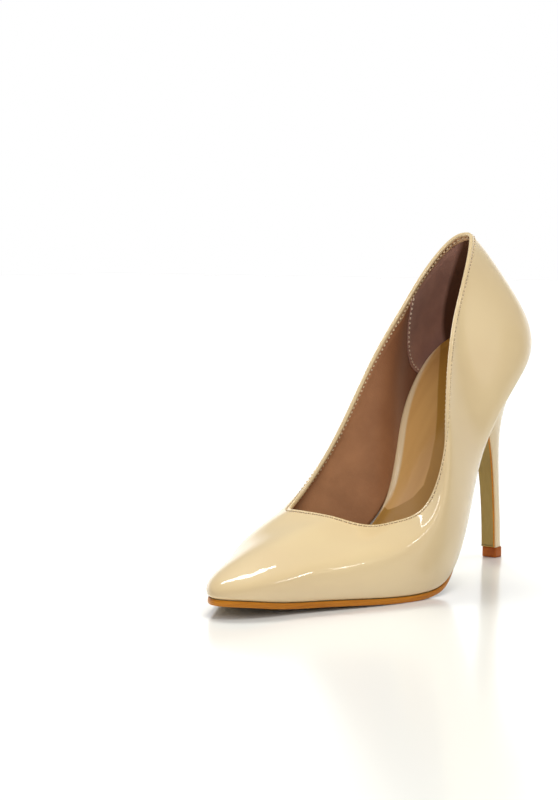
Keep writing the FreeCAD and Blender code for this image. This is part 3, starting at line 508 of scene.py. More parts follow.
def lining_leather(name, tone, deep_tone, grain, roughness, painted_shade, shade_from, shade_full, lean):
    """Matt lining leather with fine pores and soft mottling. A painted shade, standing for the shadow
    deep inside the shoe, comes in towards the heel between two places along the shoe, in metres, on
    lines that lean back with height."""
    m = Material(name, Sheen_Weight=0.12, Sheen_Roughness=0.5, Specular_IOR_Level=0.35)
    mottle = m.noise(60.0, 4.0, 0.6)
    colour = m.ramp(mottle, (0.32, deep_tone), (0.68, tone))
    spot = m.split("Object")
    place = m.math("MULTIPLY_ADD", spot["Z"], -lean, spot["X"])
    span = shade_full - shade_from
    share = m.math("MULTIPLY_ADD", place, 1 / span, -shade_from / span)
    # Painted shade: the lining darkens towards the heel, where the inside of the shoe lies in shadow.
    m.colour(m.mix(share, colour, painted_shade))
    crease = m.noise(90.0, 3.0, 0.55, 0.4)
    m.rough(mottle, roughness - 0.06, roughness + 0.06)
    m.normal(m.bump(m.cells(1000.0 / grain), 0.05, under=m.bump(crease, 0.18)))
    return m.material


def sock_leather():
    """Tan sock leather with faint streaks along the foot, painted reflections of the walls. Its outer
    side takes a painted shade from the lateral wall, and its medial rim is glossy with a painted
    highlight, a paler tone. The UV map holds the two distances that say where."""
    m = Material("sock_leather", Coat_Roughness=0.14, Specular_IOR_Level=0.4)
    # The streaks' lighter and darker tones are painted reflections of the walls. The same streaks
    # also vary the roughness.
    streak_and_painted_reflection = m.noise(1.0, 2.0, 0.5, vector=m.mapped((7.0, 90.0, 7.0)))
    colour = m.ramp(streak_and_painted_reflection, (0.25, srgb(190, 142, 80)), (0.75, srgb(214, 168, 102)))
    distances = m.split("UV")
    painted_shade_band = m.ramp(distances["X"], (0.0, BLACK), (0.08, WHITE))
    rim_gloss_and_highlight = m.ramp(distances["Y"], (0.22, WHITE), (0.32, BLACK))
    # Painted shade on the sock's outer side, from the lateral wall.
    colour = m.mix(painted_shade_band, colour, srgb(170, 124, 48))
    # Painted highlight on the medial rim: a paler tone for light caught on its roll. The coat weight
    # below gives it real gloss.
    m.colour(m.mix(rim_gloss_and_highlight, colour, srgb(222, 198, 156)))
    m.feed(m.shader["Coat Weight"], m.spread(rim_gloss_and_highlight, 0.05, 0.9))
    m.rough(streak_and_painted_reflection, 0.42, 0.54)
    m.normal(m.bump(m.cells(1300.0), 0.02, under=m.bump(m.noise(70.0, 2.0), 0.1)))
    return m.material


def sole_edge():
    """Waxed and dyed edge of the sole leather, with fine layers along it."""
    m = Material("sole_edge", Coat_Weight=0.1, Coat_Roughness=0.2, Specular_IOR_Level=0.3)
    layers = m.noise(1.0, 4.0, 0.6, vector=m.mapped((60.0, 60.0, 1600.0)))
    m.tones(layers, (0.3, srgb(178, 104, 8)), (0.7, srgb(210, 134, 24)))
    m.rough(layers, 0.34, 0.5)
    m.normal(m.bump(layers, 0.04))
    return m.material


def sole_face():
    """Smooth face of the sole leather: close fibres and a satin finish."""
    m = Material("sole_face", Specular_IOR_Level=0.4)
    cloud = m.noise(35.0, 3.0)
    fibre = m.noise(1.0, 5.0, 0.65, vector=m.mapped((180.0, 900.0, 180.0)))
    mixed = m.math("ADD", m.math("MULTIPLY", cloud, 0.6), m.math("MULTIPLY", fibre, 0.4))
    m.tones(mixed, (0.3, srgb(150, 124, 62)), (0.7, srgb(178, 152, 88)))
    m.rough(fibre, 0.42, 0.58)
    m.normal(m.bump(fibre, 0.03))
    return m.material


def tip_rubber():
    """Hard rubber of the heel tip."""
    m = Material("tip_rubber", Specular_IOR_Level=0.3)
    cloud = m.noise(240.0, 3.0)
    m.tones(cloud, (0.3, srgb(152, 70, 8)), (0.7, srgb(184, 98, 24)))
    m.rough(cloud, 0.36, 0.5)
    m.normal(m.bump(m.noise(900.0, 2.0), 0.03))
    return m.material


def sewing_thread(name, tone):
    """Thread with the slanting bands of its twist."""
    m = Material(name, Sheen_Weight=0.3, Specular_IOR_Level=0.3)
    twist = m.waves(900.0, "DIAGONAL", 2.0)
    m.tones(twist, (0.0, dimmed(tone, 0.7)), (1.0, tone))
    m.rough(twist, 0.5, 0.7)
    m.normal(m.bump(twist, 0.05))
    return m.material


def woven(name, tone):
    """Interlining cloth and tape: a plain weave."""
    m = Material(name, Sheen_Weight=0.2)
    weave = m.math("MULTIPLY", m.waves(330.0, "X"), m.waves(330.0, "Z"))
    m.tones(weave, (0.0, dimmed(tone, 0.75)), (1.0, tone))
    m.rough(weave, 0.8, 0.95)
    m.normal(m.bump(weave, 0.1))
    return m.material


def moulded(name, tone, roughness):
    """Plain moulded plastic."""
    m = Material(name)
    cloud = m.noise(120.0, 3.0)
    m.tones(cloud, (0.3, dimmed(tone, 0.93)), (0.7, tone))
    m.rough(cloud, roughness - 0.05, roughness + 0.05)
    m.normal(m.bump(m.noise(700.0, 2.0), 0.02))
    return m.material


def crumbed(name, tone, dark, grain):
    """Fibre board and cork: a speckled mass."""
    m = Material(name, Roughness=0.9)
    crumbs = m.cells(1000.0 / grain)
    m.tones(crumbs, (0.1, dark), (0.6, tone))
    m.normal(m.bump(crumbs, 0.15))
    return m.material


def drawn_steel():
    """Bright steel with fine lines along it."""
    m = Material("drawn_steel", Metallic=1.0)
    lines = m.noise(1.0, 4.0, 0.6, vector=m.mapped((60.0, 1500.0, 1500.0)))
    m.tones(lines, (0.3, (0.50, 0.51, 0.53, 1.0)), (0.7, (0.62, 0.63, 0.65, 1.0)))
    m.rough(lines, 0.25, 0.4)
    m.normal(m.bump(lines, 0.01))
    return m.material


UPPER_TONES = (srgb(231, 207, 160), srgb(227, 201, 155))
patent = patent_leather("patent_leather", *UPPER_TONES, stitched=True)
patent_plain = patent_leather("patent_leather_heel", *UPPER_TONES)
# The front lining takes a painted shade towards the heel, where it lies deep in the shoe's shadow.
vamp_lining_leather = lining_leather(
    "vamp_lining_leather", srgb(182, 130, 88), srgb(160, 112, 74), grain=0.9, roughness=0.55,
    painted_shade=srgb(132, 82, 50), shade_from=0.095, shade_full=0.035, lean=0.0)
# The heel lining takes a painted shade on its back part, the shadow cast inside the heel cup.
heel_lining_leather = lining_leather(
    "heel_lining_leather", srgb(184, 140, 122), srgb(162, 122, 108), grain=0.6, roughness=0.75,
    painted_shade=srgb(92, 56, 34), shade_from=-0.0180, shade_full=-0.0205, lean=0.22)


# ---------------------------------------------------------------- the upper

SEAM_MIDDLE = sum(SIDE_SEAM) / 2


def seam_shift(place, up):
    """Moves the columns near the side seam so that one follows it, and leaves the far ones."""
    reach = 0.2
    gap = (place - SEAM_MIDDLE + 0.5) % 1.0 - 0.5
    fall = np.cos(np.clip(gap / reach, -1, 1) * math.pi / 2) ** 2
    weight = np.where(np.abs(gap) < reach, fall, 0.0)
    return (SIDE_SEAM[0] + (SIDE_SEAM[1] - SIDE_SEAM[0]) * up - SEAM_MIDDLE) * weight


def upper_columns(count):
    """Column places, crowded beside the side seam where its groove needs them, and how far each
    is from the seam."""
    even = np.arange(count) / count - 0.5
    from_seam = even * (1 - 0.9 * bump_at(even, 0.0, 0.012))
    return (SEAM_MIDDLE + from_seam) % 1.0, from_seam


def edge_depth(below):
    """Depth of the lining's face: less near the edge, where the layers are skived."""
    return EDGE_WALL + (WALL - EDGE_WALL) * smooth_step(below, 3.0, 9.0)


def make_upper():
    """One closed skin: the turned margin, the outer face, the folded edge and the flesh side.
    Gives back its wall, the lengths along the stitched line and the number of stitches."""
    places, from_seam = upper_columns(640)
    wall = Wall(lambda up: places + seam_shift(places, up))
    around_length = 500.0
    seam_gap = np.abs(from_seam) * around_length
    seam_dent = 0.5 * bump_at(seam_gap, 0.0, 0.35) - 0.10 * bump_at(seam_gap, 1.3, 0.8)
    margin = 3.0 + 3.0 * (1 - smooth_step(feather_ring.at(places)[:, 0], 182, 196))
    foot_place = places + seam_shift(places, 0.0)
    foot_plan, foot_out = feather_ring.at(foot_place), outward(foot_place)

    def under(inset, height):
        plan = foot_plan - foot_out * np.broadcast_to(inset, places.shape)[:, None]
        return over_bed(plan[:, 0], plan[:, 1], height)

    def outer_depth(below):
        dent = GROOVE * bump_at(below, STITCH_ROW, 0.5)
        return dent + seam_dent * smooth_step(below, 0.5, 3.0)

    rows, below_edge = [], []

    def add(points, below):
        """A row of points, with what the UV map says of its distance below the edge. Far from
        the stitches that only has to be well past them."""
        rows.append(points)
        below_edge.append(below)

    # The margin under the insole, and the bend up from it.
    corner = 1.7
    for share in np.linspace(1.0, 0.0, 4):
        add(under(corner + (margin - corner) * share, 0.0), 60.0)
    start, turn, end = rows[-1], under(0.0, 0.0), wall.at(wall.lengths - corner, outer_depth(30.0))
    for t in (0.2, 0.4, 0.6, 0.8):
        add(start * (1 - t) ** 2 + turn * 2 * t * (1 - t) + end * t ** 2, 50.0)

    # The outer face, with finer rows near the edge.
    dense_edge = 6.0
    for share in np.linspace(1.0, 0.0, 44):
        below = dense_edge + (wall.lengths - corner - dense_edge) * share
        points = wall.at(below, outer_depth(below))
        waves = 0.045 * ripple(points, 24.0, 5) * smooth_step(below, 4.0, 14.0)
        add(points + inward(*wall.spot(below)) * waves[:, None], 10.0)
    for below in np.linspace(dense_edge, RIM, 18)[1:]:
        add(wall.at(below, outer_depth(below)), below)

    # The folded edge and the fold's inner side, whose end steps back to the leather's flesh side.
    for angle in np.linspace(0, math.pi, 10)[1:-1]:
        add(wall.at(RIM * (1 - math.sin(angle)), RIM * (1 - math.cos(angle))), 0.0)
    for below in np.linspace(RIM, FOLD, 8):
        dent = 0.15 * bump_at(below, STITCH_ROW, 0.5)
        add(wall.at(below, edge_depth(below) + 0.25 * smooth_step(below, RIM, FOLD) - dent), -below)
    fold_end = [(FOLD + 0.22, edge_depth(FOLD) + 0.02), (FOLD + 0.12, EDGE_WALL - 0.3),
                (FOLD - 0.4, EDGE_WALL - 0.42), (1.5, EDGE_WALL - 0.42)]
    for below, depth in fold_end:
        add(wall.at(below, depth), -5.0)
    for share in np.linspace(0.0, 1.0, 18):
        add(wall.at(1.5 + (wall.lengths - 3.7) * share, LEATHER), 20.0)
    for share in (0.0, 0.5, 1.0):
        add(under(2.2 + (margin - 2.2) * share, LEATHER), 60.0)

    along = line_sums(closed(wall.at(STITCH_ROW, 0.0)))
    stitches = round(along[-1] / STITCH_PITCH)
    count = len(places)
    uv = np.zeros((len(rows) + 1, count + 1, 2))
    uv[..., 0] = along / along[-1] * stitches
    uv[..., 1] = np.array(below_edge + below_edge[:1])[:, None]
    faces = grid_faces(len(rows), count, True, True)
    obj = make_object("upper_shell", np.concatenate(rows), faces.tolist(), [patent],
                      corner_values(uv, len(rows), count, True, True))
    place_piece(obj, "patent_leather", "upper")
    return wall, along, stitches


# ---------------------------------------------------------------- stitches

def thread_bars(centres, alongs, normals, length, radius, lift, sink):
    """Rounded thread floats whose ends dive into the leather. One grid of rings per stitch."""
    across = unit(np.cross(normals, alongs))
    stations = np.array([-1.0, -0.92, -0.7, -0.35, 0.0, 0.35, 0.7, 0.92, 1.0])
    thick = radius * np.sqrt(np.clip(1 - stations ** 4, 0.02, 1))
    rise = lift * (1 - stations ** 2) - sink * stations ** 4
    sides = 8
    angles = np.arange(sides) * 2 * math.pi / sides
    spine = (centres[:, None] + alongs[:, None] * (stations * length / 2)[None, :, None]
             + normals[:, None] * rise[None, :, None])
    ring = (across[:, None, None] * np.cos(angles)[None, None, :, None]
            + normals[:, None, None] * np.sin(angles)[None, None, :, None])
    points = spine[:, :, None] + ring * thick[None, :, None, None]
    per = len(stations) * sides
    one = grid_faces(len(stations), sides, False, True)
    faces = []
    for k in range(len(centres)):
        faces += (one + k * per).tolist()
        faces.append([k * per + s for s in range(sides)])
        faces.append([k * per + per - sides + s for s in range(sides)])
    return points.reshape(-1, 3), faces


def between(line, goals):
    """Points at given lengths along a line of points, and the directions there."""
    sums = line_sums(line)
    step = 0.2
    ahead, behind = [read_line(goals + way * step, sums, line) for way in (1, -1)]
    return read_line(goals, sums, line), unit(ahead - behind)


def make_thread(name, material, node, rows):
    """Rows of stitches: (line, stitch places along it, the way they face, radius, lift, sink)."""
    all_points, all_faces = [], []
    offset = 0
    for line, goals, facing, radius, lift, sink in rows:
        centres, directions = between(line, goals)
        points, faces = thread_bars(centres, directions, facing, STITCH_PITCH * STITCH_SHARE,
                                    radius, lift, sink)
        all_points.append(points)
        all_faces += [[i + offset for i in face] for face in faces]
        offset += len(points)
    obj = make_object(name, np.concatenate(all_points), all_faces, [material])
    place_piece(obj, "thread", node)


def make_topline_thread(wall, along, stitches):
    """Both sides of the lockstitch row round the mouth, in step with the holes in the upper. The
    inner line is a little shorter, so its last stitch lies past the end and has no shape."""
    normals = closed(-inward(*wall.spot(STITCH_ROW)))
    goals = (np.arange(stitches) + 0.5) * along[-1] / stitches
    outwards = unit(read_line(goals, along, normals))
    sides = ((GROOVE - 0.03, 1.0), (edge_depth(STITCH_ROW) - 0.02, -1.0))
    rows = [(closed(wall.at(STITCH_ROW, depth)), goals, outwards * facing, 0.33, 0.24, 0.36)
            for depth, facing in sides]
    thread = sewing_thread("upper_thread", srgb(238, 214, 174))
    make_thread("topline_thread", thread, "topline_stitches", rows)


# ---------------------------------------------------------------- linings

def seam_place(seam, up, shift=0.0):
    """Where a lining's seam is at a height, shifted by so much round the shoe."""
    lower, upper, bow = seam
    return lower + (upper - lower) * up + bow * math.sin(math.pi * up) + shift


def make_lining(name, material, slot, node, start, end, count, edges):
    """A lining skin between two seams. edges(gap) gives how far its face stands proud."""
    shares = np.linspace(0, 1, count)
    shares = shares - 0.5 * np.sin(2 * math.pi * shares) / (2 * math.pi)
    wall = Wall(lambda up: start(up) + (end(up) - start(up)) * shares)
    full_width = 330.0       # turns shares of the width into a rough distance from a seam
    gap = np.minimum(shares, 1 - shares) * full_width
    rows = []
    foot = 0.07              # share of the wall that the lining leaves free at the foot
    for share in np.linspace(0, 1, 60) ** 1.15:
        below = FOLD + 0.1 + (wall.lengths * (1 - foot) - FOLD - 0.1) * share
        points = wall.at(below, edge_depth(below) + edges(gap))
        waves = 0.10 * ripple(points, 16.0, 11) * smooth_step(below, 6.0, 20.0)
        rows.append(points + inward(*wall.spot(below)) * waves[:, None])
    faces = grid_faces(len(rows), count)
    obj = make_object(name, np.concatenate(rows), faces.tolist(), [material])
    # The skin's own thickness goes outwards, into the wall.
    thicken(obj, 0.3, inward(*wall.spot(wall.lengths / 2))[count // 2])
    place_piece(obj, slot, node)


def make_linings():
    """The front lining runs a little way under the heel lining, whose front edges stand proud."""
    overlap = 0.006
    make_lining("vamp_lining_skin", vamp_lining_leather, "vamp_lining_leather", "vamp_lining",
                lambda up: seam_place(LINING_SEAM_MEDIAL, up, -overlap),
                lambda up: seam_place(LINING_SEAM_LATERAL, up, 1 + overlap),
                420, lambda gap: 0.0)
    make_lining("heel_lining_skin", heel_lining_leather, "heel_lining_leather", "heel_lining",
                lambda up: seam_place(LINING_SEAM_LATERAL, up),
                lambda up: seam_place(LINING_SEAM_MEDIAL, up),
                220, lambda gap: 0.42 * (1 - smooth_step(gap, 6.0, 22.0)))


def make_lining_thread():
    """Stitches along the heel lining's two front edges."""
    heights = np.linspace(0.14, 0.95, 300)
    rows = []
    for seam, side in ((LINING_SEAM_LATERAL, 1), (LINING_SEAM_MEDIAL, -1)):
        places = np.array([seam_place(seam, up, side * 0.0035) for up in heights])
        normals = inward(places, heights)
        line = surface(places, heights) + normals * (WALL + 0.40)
        sums = line_sums(line)
        number = int(sums[-1] / STITCH_PITCH)
        goals = (np.arange(number) + 0.5) * sums[-1] / number
        rows.append((line, goals, unit(read_line(goals, sums, normals)), 0.36, 0.22, 0.25))
    thread = sewing_thread("lining_thread", srgb(236, 212, 184))
    make_thread("lining_thread", thread, "heel_lining_stitches", rows)


# ---------------------------------------------------------------- sheets of the bottom

def plan_normals(ring):
    """Unit normals out of a closed outline."""
    after = np.roll(ring, -1, axis=0)
    run = after - np.roll(ring, 1, axis=0)
    area = np.sum(ring[:, 0] * after[:, 1] - ring[:, 1] * after[:, 0])
    return unit(np.stack([run[:, 1], -run[:, 0]], -1)) * np.sign(area)


def read_rule(rule, plan):
    """A profile's inset or height: a number, or a function of the plan."""
    return rule(plan) if callable(rule) else rule


def sheet_piece(name, ring, profile, crown, lay, materials, edge_rows, across=24):
    """A padded or plain sheet. ring is its closed outline in flat coordinates (along, across),
    from the front end round the left side. profile lists (inset, height) from the top's edge
    region round to the bottom's. crown(along, across, side) gives heights inside: side 0 is the
    top and 1 the bottom. lay turns (along, across, height) into space. edge_rows are the profile
    rows whose faces take the second material."""
    count = len(ring)
    half = count // 2
    normals = plan_normals(ring)
    flat = [ring - normals * read_rule(inset, ring) for inset, _ in profile]
    heights = [np.broadcast_to(read_rule(height, plan), count)
               for plan, (_, height) in zip(flat, profile)]
    faces = grid_faces(len(profile), count, False, True).tolist()
    slots = []
    for row in range(len(profile) - 1):
        slots += [1 if row in edge_rows else 0] * count
    points = list(np.concatenate(flat))
    levels = list(np.concatenate(heights))
    shares = np.linspace(0, 1, across + 1)[1:-1]
    for side, row in ((0, 0), (1, len(profile) - 1)):
        base = row * count
        plan = flat[row]
        edge_heights = heights[row]
        columns = []
        for i in range(half + 1):
            j = (count - i) % count
            if i in (0, half):
                columns.append([base + i])
                continue
            inner = plan[i] + (plan[j] - plan[i]) * shares[:, None]
            first = len(points)
            points.extend(inner)
            edge = edge_heights[i] + (edge_heights[j] - edge_heights[i]) * shares
            levels.extend(edge + crown(inner, shares, side))
            columns.append([base + i] + list(range(first, first + len(shares))) + [base + j])
        for a, b in zip(columns, columns[1:]):
            if len(a) == 1 or len(b) == 1:
                tip, row_points = (a[0], b) if len(a) == 1 else (b[0], a)
                new = [[tip, p, q] for p, q in zip(row_points, row_points[1:])]
            else:
                new = [[a[k], b[k], b[k + 1], a[k + 1]] for k in range(len(a) - 1)]
            faces += new
            slots += [0] * len(new)
    points = np.array(points)
    laid = lay(points[:, 0], points[:, 1], np.array(levels))
    return make_object(name, laid, faces, materials, slots=slots)


def mark_painted_light_bands(mesh, ring):
    """Stores two distances in centimetres as the UV map: past the line where the sock's outer side
    takes painted shade, and from the medial side, where the rim takes its gloss and painted
    highlight."""
    medial = ring[len(ring) // 2:]
    shade = np.array(SOCK_SHADE, float)
    spots = np.empty(len(mesh.vertices) * 3, np.float32)
    mesh.vertices.foreach_get("co", spots)
    along, across = spots.reshape(-1, 3)[:, :2].T / MM
    past_shade_line = across - np.interp(along, shade[:, 0], shade[:, 1])
    from_medial = across - np.interp(along, medial[:, 0], medial[:, 1])
    corners = np.empty(len(mesh.loops), np.int32)
    mesh.loops.foreach_get("vertex_index", corners)
    pairs = np.stack([past_shade_line, from_medial], -1)[corners] / 10
    mesh.uv_layers.new(name="UVMap").data.foreach_set("uv", pairs.astype(np.float32).ravel())


def make_sock():
    """Padded sock: a rolled rim against the walls, a shallow dip inside it and a low crown."""
    count = 360
    places = np.arange(count) / count
    heights = np.linspace(0.0, 0.5, 80)
    grid_place, grid_up = np.meshgrid(places, heights, indexing="ij")
    inner = surface(grid_place, grid_up) + inward(grid_place, grid_up) * (WALL + 0.1)
    over = (inner[..., 2] - bed(inner[..., 0])) * bed_normal(inner[..., 0])[..., 2]
    ring = np.array([[np.interp(SOCK_TOP - 1.2, over[c], inner[c, :, k]) for k in (0, 1)]
                     for c in range(count)])
    for _ in range(3):
        ring = (np.roll(ring, 1, axis=0) + 2 * ring + np.roll(ring, -1, axis=0)) / 4
    rim, dip = 1.2, 0.35     # how far the rim rises and the middle crowns

    def crown(plan, shares, side):
        if side:
            return 0.0
        arch = np.sin(math.pi * shares)
        return dip * (arch ** 0.7) + 0.12 * ripple(np.column_stack([plan, plan[:, :1] * 0]), 30.0, 3)

    top = SOCK_TOP
    profile = [(8.5, top - 0.30), (7.0, top - 0.30), (5.6, top - 0.28), (4.4, top - 0.22),
               (3.7, top + 0.02), (3.2, top + rim * 0.5), (2.7, top + rim * 0.85), (2.2, top + rim),
               (1.7, top + rim * 0.92), (1.2, top + rim * 0.62), (0.8, top + rim * 0.2),
               (0.5, top - 0.5), (0.4, top - 1.3), (0.6, top - 2.1), (1.2, SOCK_BASE + 0.1),
               (2.2, SOCK_BASE)]
    obj = sheet_piece("padded_sock", ring, profile, crown, over_bed, [sock_leather()], ())
    mark_painted_light_bands(obj.data, ring)
    place_piece(obj, "sock_leather", "sock_lining", "sock_foam")


class SolePath:
    """Side view of the sole's upper face, from the toe back along the waist and down the breast."""

    def __init__(self):
        bed_x = np.linspace(216.0, 29.0, 400)
        bed_line = np.stack([bed_x, bed(bed_x)], -1) - bed_normal(bed_x)[:, [0, 2]] * GLUE
        places = np.linspace(0.83, 0.001, 200)
        breast = heel_spline.at(places)[:, 2:4]
        down = unit(np.gradient(breast, axis=0))
        breast = breast + np.stack([-down[:, 1], down[:, 0]], -1) * GLUE
        corner = np.array([25.3, bed(25.3) - GLUE])
        t = np.linspace(0, 1, 24)[1:-1, None]
        bend = bed_line[-1] * (1 - t) ** 2 + corner * 2 * t * (1 - t) + breast[0] * t ** 2
        self.line = np.concatenate([bed_line, bend, breast])
        self.sums = line_sums(self.line)
        self.bed_end = self.sums[len(bed_line) - 1]
        self.flap_start = self.sums[len(bed_line) + len(bend) - 1]
        self.end = self.sums[-1]
        self.flap_places = places

    def at(self, run):
        return read_line(run, self.sums, self.line)

    def lay(self, run, y, height):
        """Point at a length along the path, a place across and a height square to the path."""
        step = 0.6
        ahead, behind = self.at(np.minimum(run + step, self.end)), self.at(np.maximum(run - step, 0))
        along = unit(ahead - behind)
        here = self.at(run)
        over = np.stack([along[:, 1], -along[:, 0]], -1)
        return np.stack([here[:, 0] + over[:, 0] * height, y, here[:, 1] + over[:, 1] * height], -1)

    def run_of(self, x):
        """Length along the path of a place along the bed."""
        on_bed = self.sums <= self.bed_end
        return np.interp(-x, -self.line[on_bed, 0], self.sums[on_bed])

    def flap_halves(self, run):
        """Lateral and medial edges of the flap."""
        place = np.interp(run, self.sums[-len(self.flap_places):], self.flap_places)
        section = heel_spline.at(place)
        clear = 0.45             # how far the flap stays inside the heel's corners
        half = section[..., 4] - clear
        return section[..., 5] + half, section[..., 5] - half


def make_sole():
    """One sheet of sole leather from the toe to the foot of the heel, with dyed edges."""
    path = SolePath()

    def side(places):
        """The outline along one side of the shoe, from the toe to where the bend starts."""
        plan = feather_ring.at(places)
        waist = WAIST_INSET * (1 - smooth_step(plan[:, 0], 68, 112))
        ball = 0.25 * smooth_step(plan[:, 0], 112, 125)
        plan = plan - outward(places) * (waist - ball)[:, None]
        keep = plan[:, 0] > 31.0
        return np.stack([path.run_of(plan[keep, 0]), plan[keep, 1]], -1)

    def even(line, count):
        """The same line with points that crowd towards the toe."""
        sums = line_sums(line)
        return read_line(np.linspace(0, 1, count) ** 1.25 * sums[-1], sums, line)

    fore = 180
    lateral = even(side(np.linspace(0.0, 0.45, 900)), fore)
    medial = even(side(np.linspace(1.0, 0.55, 900)), fore)
    flap_runs = np.linspace(path.flap_start - 1.0, path.end - 0.05, 110)
    flap_lateral, flap_medial = path.flap_halves(flap_runs)
    join_runs = np.linspace(lateral[-1, 0], flap_runs[0], 14)[1:-1]

    def joined(side_line, flap_line):
        """Blends the waist's edge into the flap's edge over the bend."""
        t = smooth_step(join_runs, join_runs[0], join_runs[-1])
        link = side_line[-1, 1] + (flap_line[0] - side_line[-1, 1]) * t
        return np.concatenate([side_line, np.stack([join_runs, link], -1),
                               np.stack([flap_runs, flap_line], -1)])

    left, right = joined(lateral, flap_lateral), joined(medial, flap_medial)
    ring = np.concatenate([left, [[path.end, (left[-1, 1] + right[-1, 1]) / 2]], right[:0:-1]])

    def thickness(plan):
        x_like = path.at(plan[:, 0])[:, 0]
        waist = WAIST_SOLE + (SOLE - WAIST_SOLE) * smooth_step(x_like, 80, 122)
        flap = smooth_step(plan[:, 0], path.bed_end - 14, path.flap_start)
        return waist + (FLAP - waist) * flap

    def level(share):
        return lambda plan: -thickness(plan) * share

    def narrow(amount):
        """An inset that stays small where the flap is narrow."""
        low, high = path.bed_end, path.flap_start + 20
        return lambda plan: amount * (1 - 0.55 * smooth_step(plan[:, 0], low, high))[:, None]

    insets = [2.2, 0.5, 0.12, 0.0, 0.0, 0.03, 0.18, 0.45, 1.2, 2.2]
    levels = [0.0, 0.0, 0.06, 0.18, 0.5, 0.8, 0.93, 0.99, 1.0, 1.0]
    profile = [(narrow(inset), level(share)) for inset, share in zip(insets, levels)]
    obj = sheet_piece("sole_leather", ring, profile, lambda plan, shares, side: 0.0, path.lay,
                      [sole_face(), sole_edge()], range(1, 7), across=16)
    place_piece(obj, "sole_leather", "outsole")


# ---------------------------------------------------------------- the heel

def heel_outline(section, side_share):
    """Point of a heel section: side_share runs from -1 at the medial breast edge round the back
    to 1 at the lateral one."""
    back, breast = section[..., 0:2], section[..., 2:4]
    rear = back - breast
    depth = np.linalg.norm(rear, axis=-1)
    rear = rear / depth[..., None]
    power = 2.0 / section[..., 6]
    angle = side_share * math.pi / 2
    run = depth * np.clip(np.cos(angle), 0, 1) ** power
    across = section[..., 4] * np.sign(angle) * np.abs(np.sin(angle)) ** power
    plan = breast + rear * run[..., None]
    return np.stack([plan[..., 0], section[..., 5] + across, plan[..., 1]], -1)


def make_heel():
    """Leather wrapped round the heel, from breast edge to breast edge, up to the upper."""
    even = np.linspace(-1, 1, 97)
    shares = 0.55 * np.sin(even * math.pi / 2) + 0.45 * even
    rows = 200
    # Halving finds how far up the heel each column meets the bed.
    low, high = np.full(shares.shape, 0.4), np.full(shares.shape, 1.0)
    for _ in range(40):
        middle = (low + high) / 2
        point = heel_outline(heel_spline.at(middle), shares)
        above = point[:, 2] > bed(point[:, 0]) - GLUE
        high = np.where(above, middle, high)
        low = np.where(above, low, middle)
    tops = (low + high) / 2
    lengths = np.linspace(0.0, 1.0, rows)[:, None] * tops[None, :]
    points = heel_outline(heel_spline.at(lengths), np.broadcast_to(shares, lengths.shape))
    # The leather turns the breast corners and runs a little way under the flap.
    turned = []
    for edge, neighbour, sign in ((0, 1, 1.0), (-1, -2, -1.0)):
        corner = points[:, edge]
        leave = unit(corner - points[:, neighbour])
        inside = np.zeros_like(corner)
        inside[:, 1] = sign
        steps = ((0.6, 0.12), (0.9, 0.4), (0.9, 1.1))
        strip = [corner + leave * 0.25 * forward + inside * aside for forward, aside in steps]
        turned.append(np.stack(strip, 1))
    wrap = np.concatenate([turned[0][:, ::-1], points, turned[1]], axis=1)
    faces = grid_faces(rows, wrap.shape[1])
    obj = make_object("heel_wrap", wrap.reshape(-1, 3), faces.tolist(), [patent_plain])
    thicken(obj, 0.7, (-1.0, 0.0, 0.0))
    place_piece(obj, "patent_leather", "heel_cover")


def make_tip():
    """Moulded heel tip: flat to the front, round behind, with softened edges."""
    low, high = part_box("top_piece")
    front, back = high.x / MM, low.x / MM
    half = (high.y - low.y) / 2 / MM
    arc = [(half * math.cos(a) + back + half, half * math.sin(a))
           for a in np.linspace(math.pi / 2, 3 * math.pi / 2, 33)]
    corner = 0.7
    turn = np.linspace(-math.pi / 2, 0, 7)
    medial = [(front - corner + corner * math.cos(a), -half + corner + corner * math.sin(a))
              for a in turn]
    lateral = [(x, -y) for x, y in reversed(medial)]
    outline = np.array(arc + medial + lateral)
    normals = plan_normals(outline)
    wear = 0.35
    levels = [(1.2, 0.0), (wear, 0.0), (0.10, 0.12), (0.0, wear), (0.0, 1.5), (0.0, 3.0), (0.0, 4.3),
              (0.08, 4.62), (0.25, 4.86), (0.5, TIP_HEIGHT - GLUE), (1.2, TIP_HEIGHT - GLUE)]
    count = len(outline)
    points = [np.column_stack([outline - normals * inset, np.full(count, z)]) for inset, z in levels]
    faces = grid_faces(len(levels), count, False, True).tolist()
    faces.append(list(range(count)))
    faces.append([(len(levels) - 1) * count + k for k in range(count)])
    obj = make_object("heel_tip", np.concatenate(points), faces, [tip_rubber()], sharp=50)
    place_piece(obj, "top_piece_rubber", "top_piece")


# ---------------------------------------------------------------- pieces inside the shoe

def finish_inner_pieces():
    """Gives every CAD node that stays in the model its own material."""
    cloth = woven("interlining_cloth", (0.80, 0.76, 0.66, 1.0))
    tape = woven("reinforcing_tape", (0.86, 0.85, 0.80, 1.0))
    stiff = moulded("stiffener_sheet", (0.78, 0.75, 0.68, 1.0), 0.6)
    board = crumbed("fibre_board", srgb(150, 124, 92), srgb(112, 88, 62), 0.8)
    steel = drawn_steel()
    looks = {
        "toe_puff": stiff, "heel_counter": stiff,
        "vamp_interlining": cloth, "lateral_interlining": cloth, "medial_interlining": cloth,
        "waist_interlining": cloth, "side_seam_tape": tape, "topline_tape": tape,
        "insole_board": board, "shank_board": board,
        "bottom_filler": crumbed("cork_filler", srgb(160, 118, 78), srgb(84, 54, 34), 1.6),
        "heel_core": moulded("heel_plastic", (0.72, 0.69, 0.62, 1.0), 0.5),
        "shank": steel, "shank_rivets": steel, "heel_screw": steel, "heel_nails": steel,
        "heel_tube": steel, "top_piece_pin": steel,
    }
    for node, material in looks.items():
        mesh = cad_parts[node].data
        mesh.materials.clear()
        mesh.materials.append(material)


# ---------------------------------------------------------------- stage, light and camera

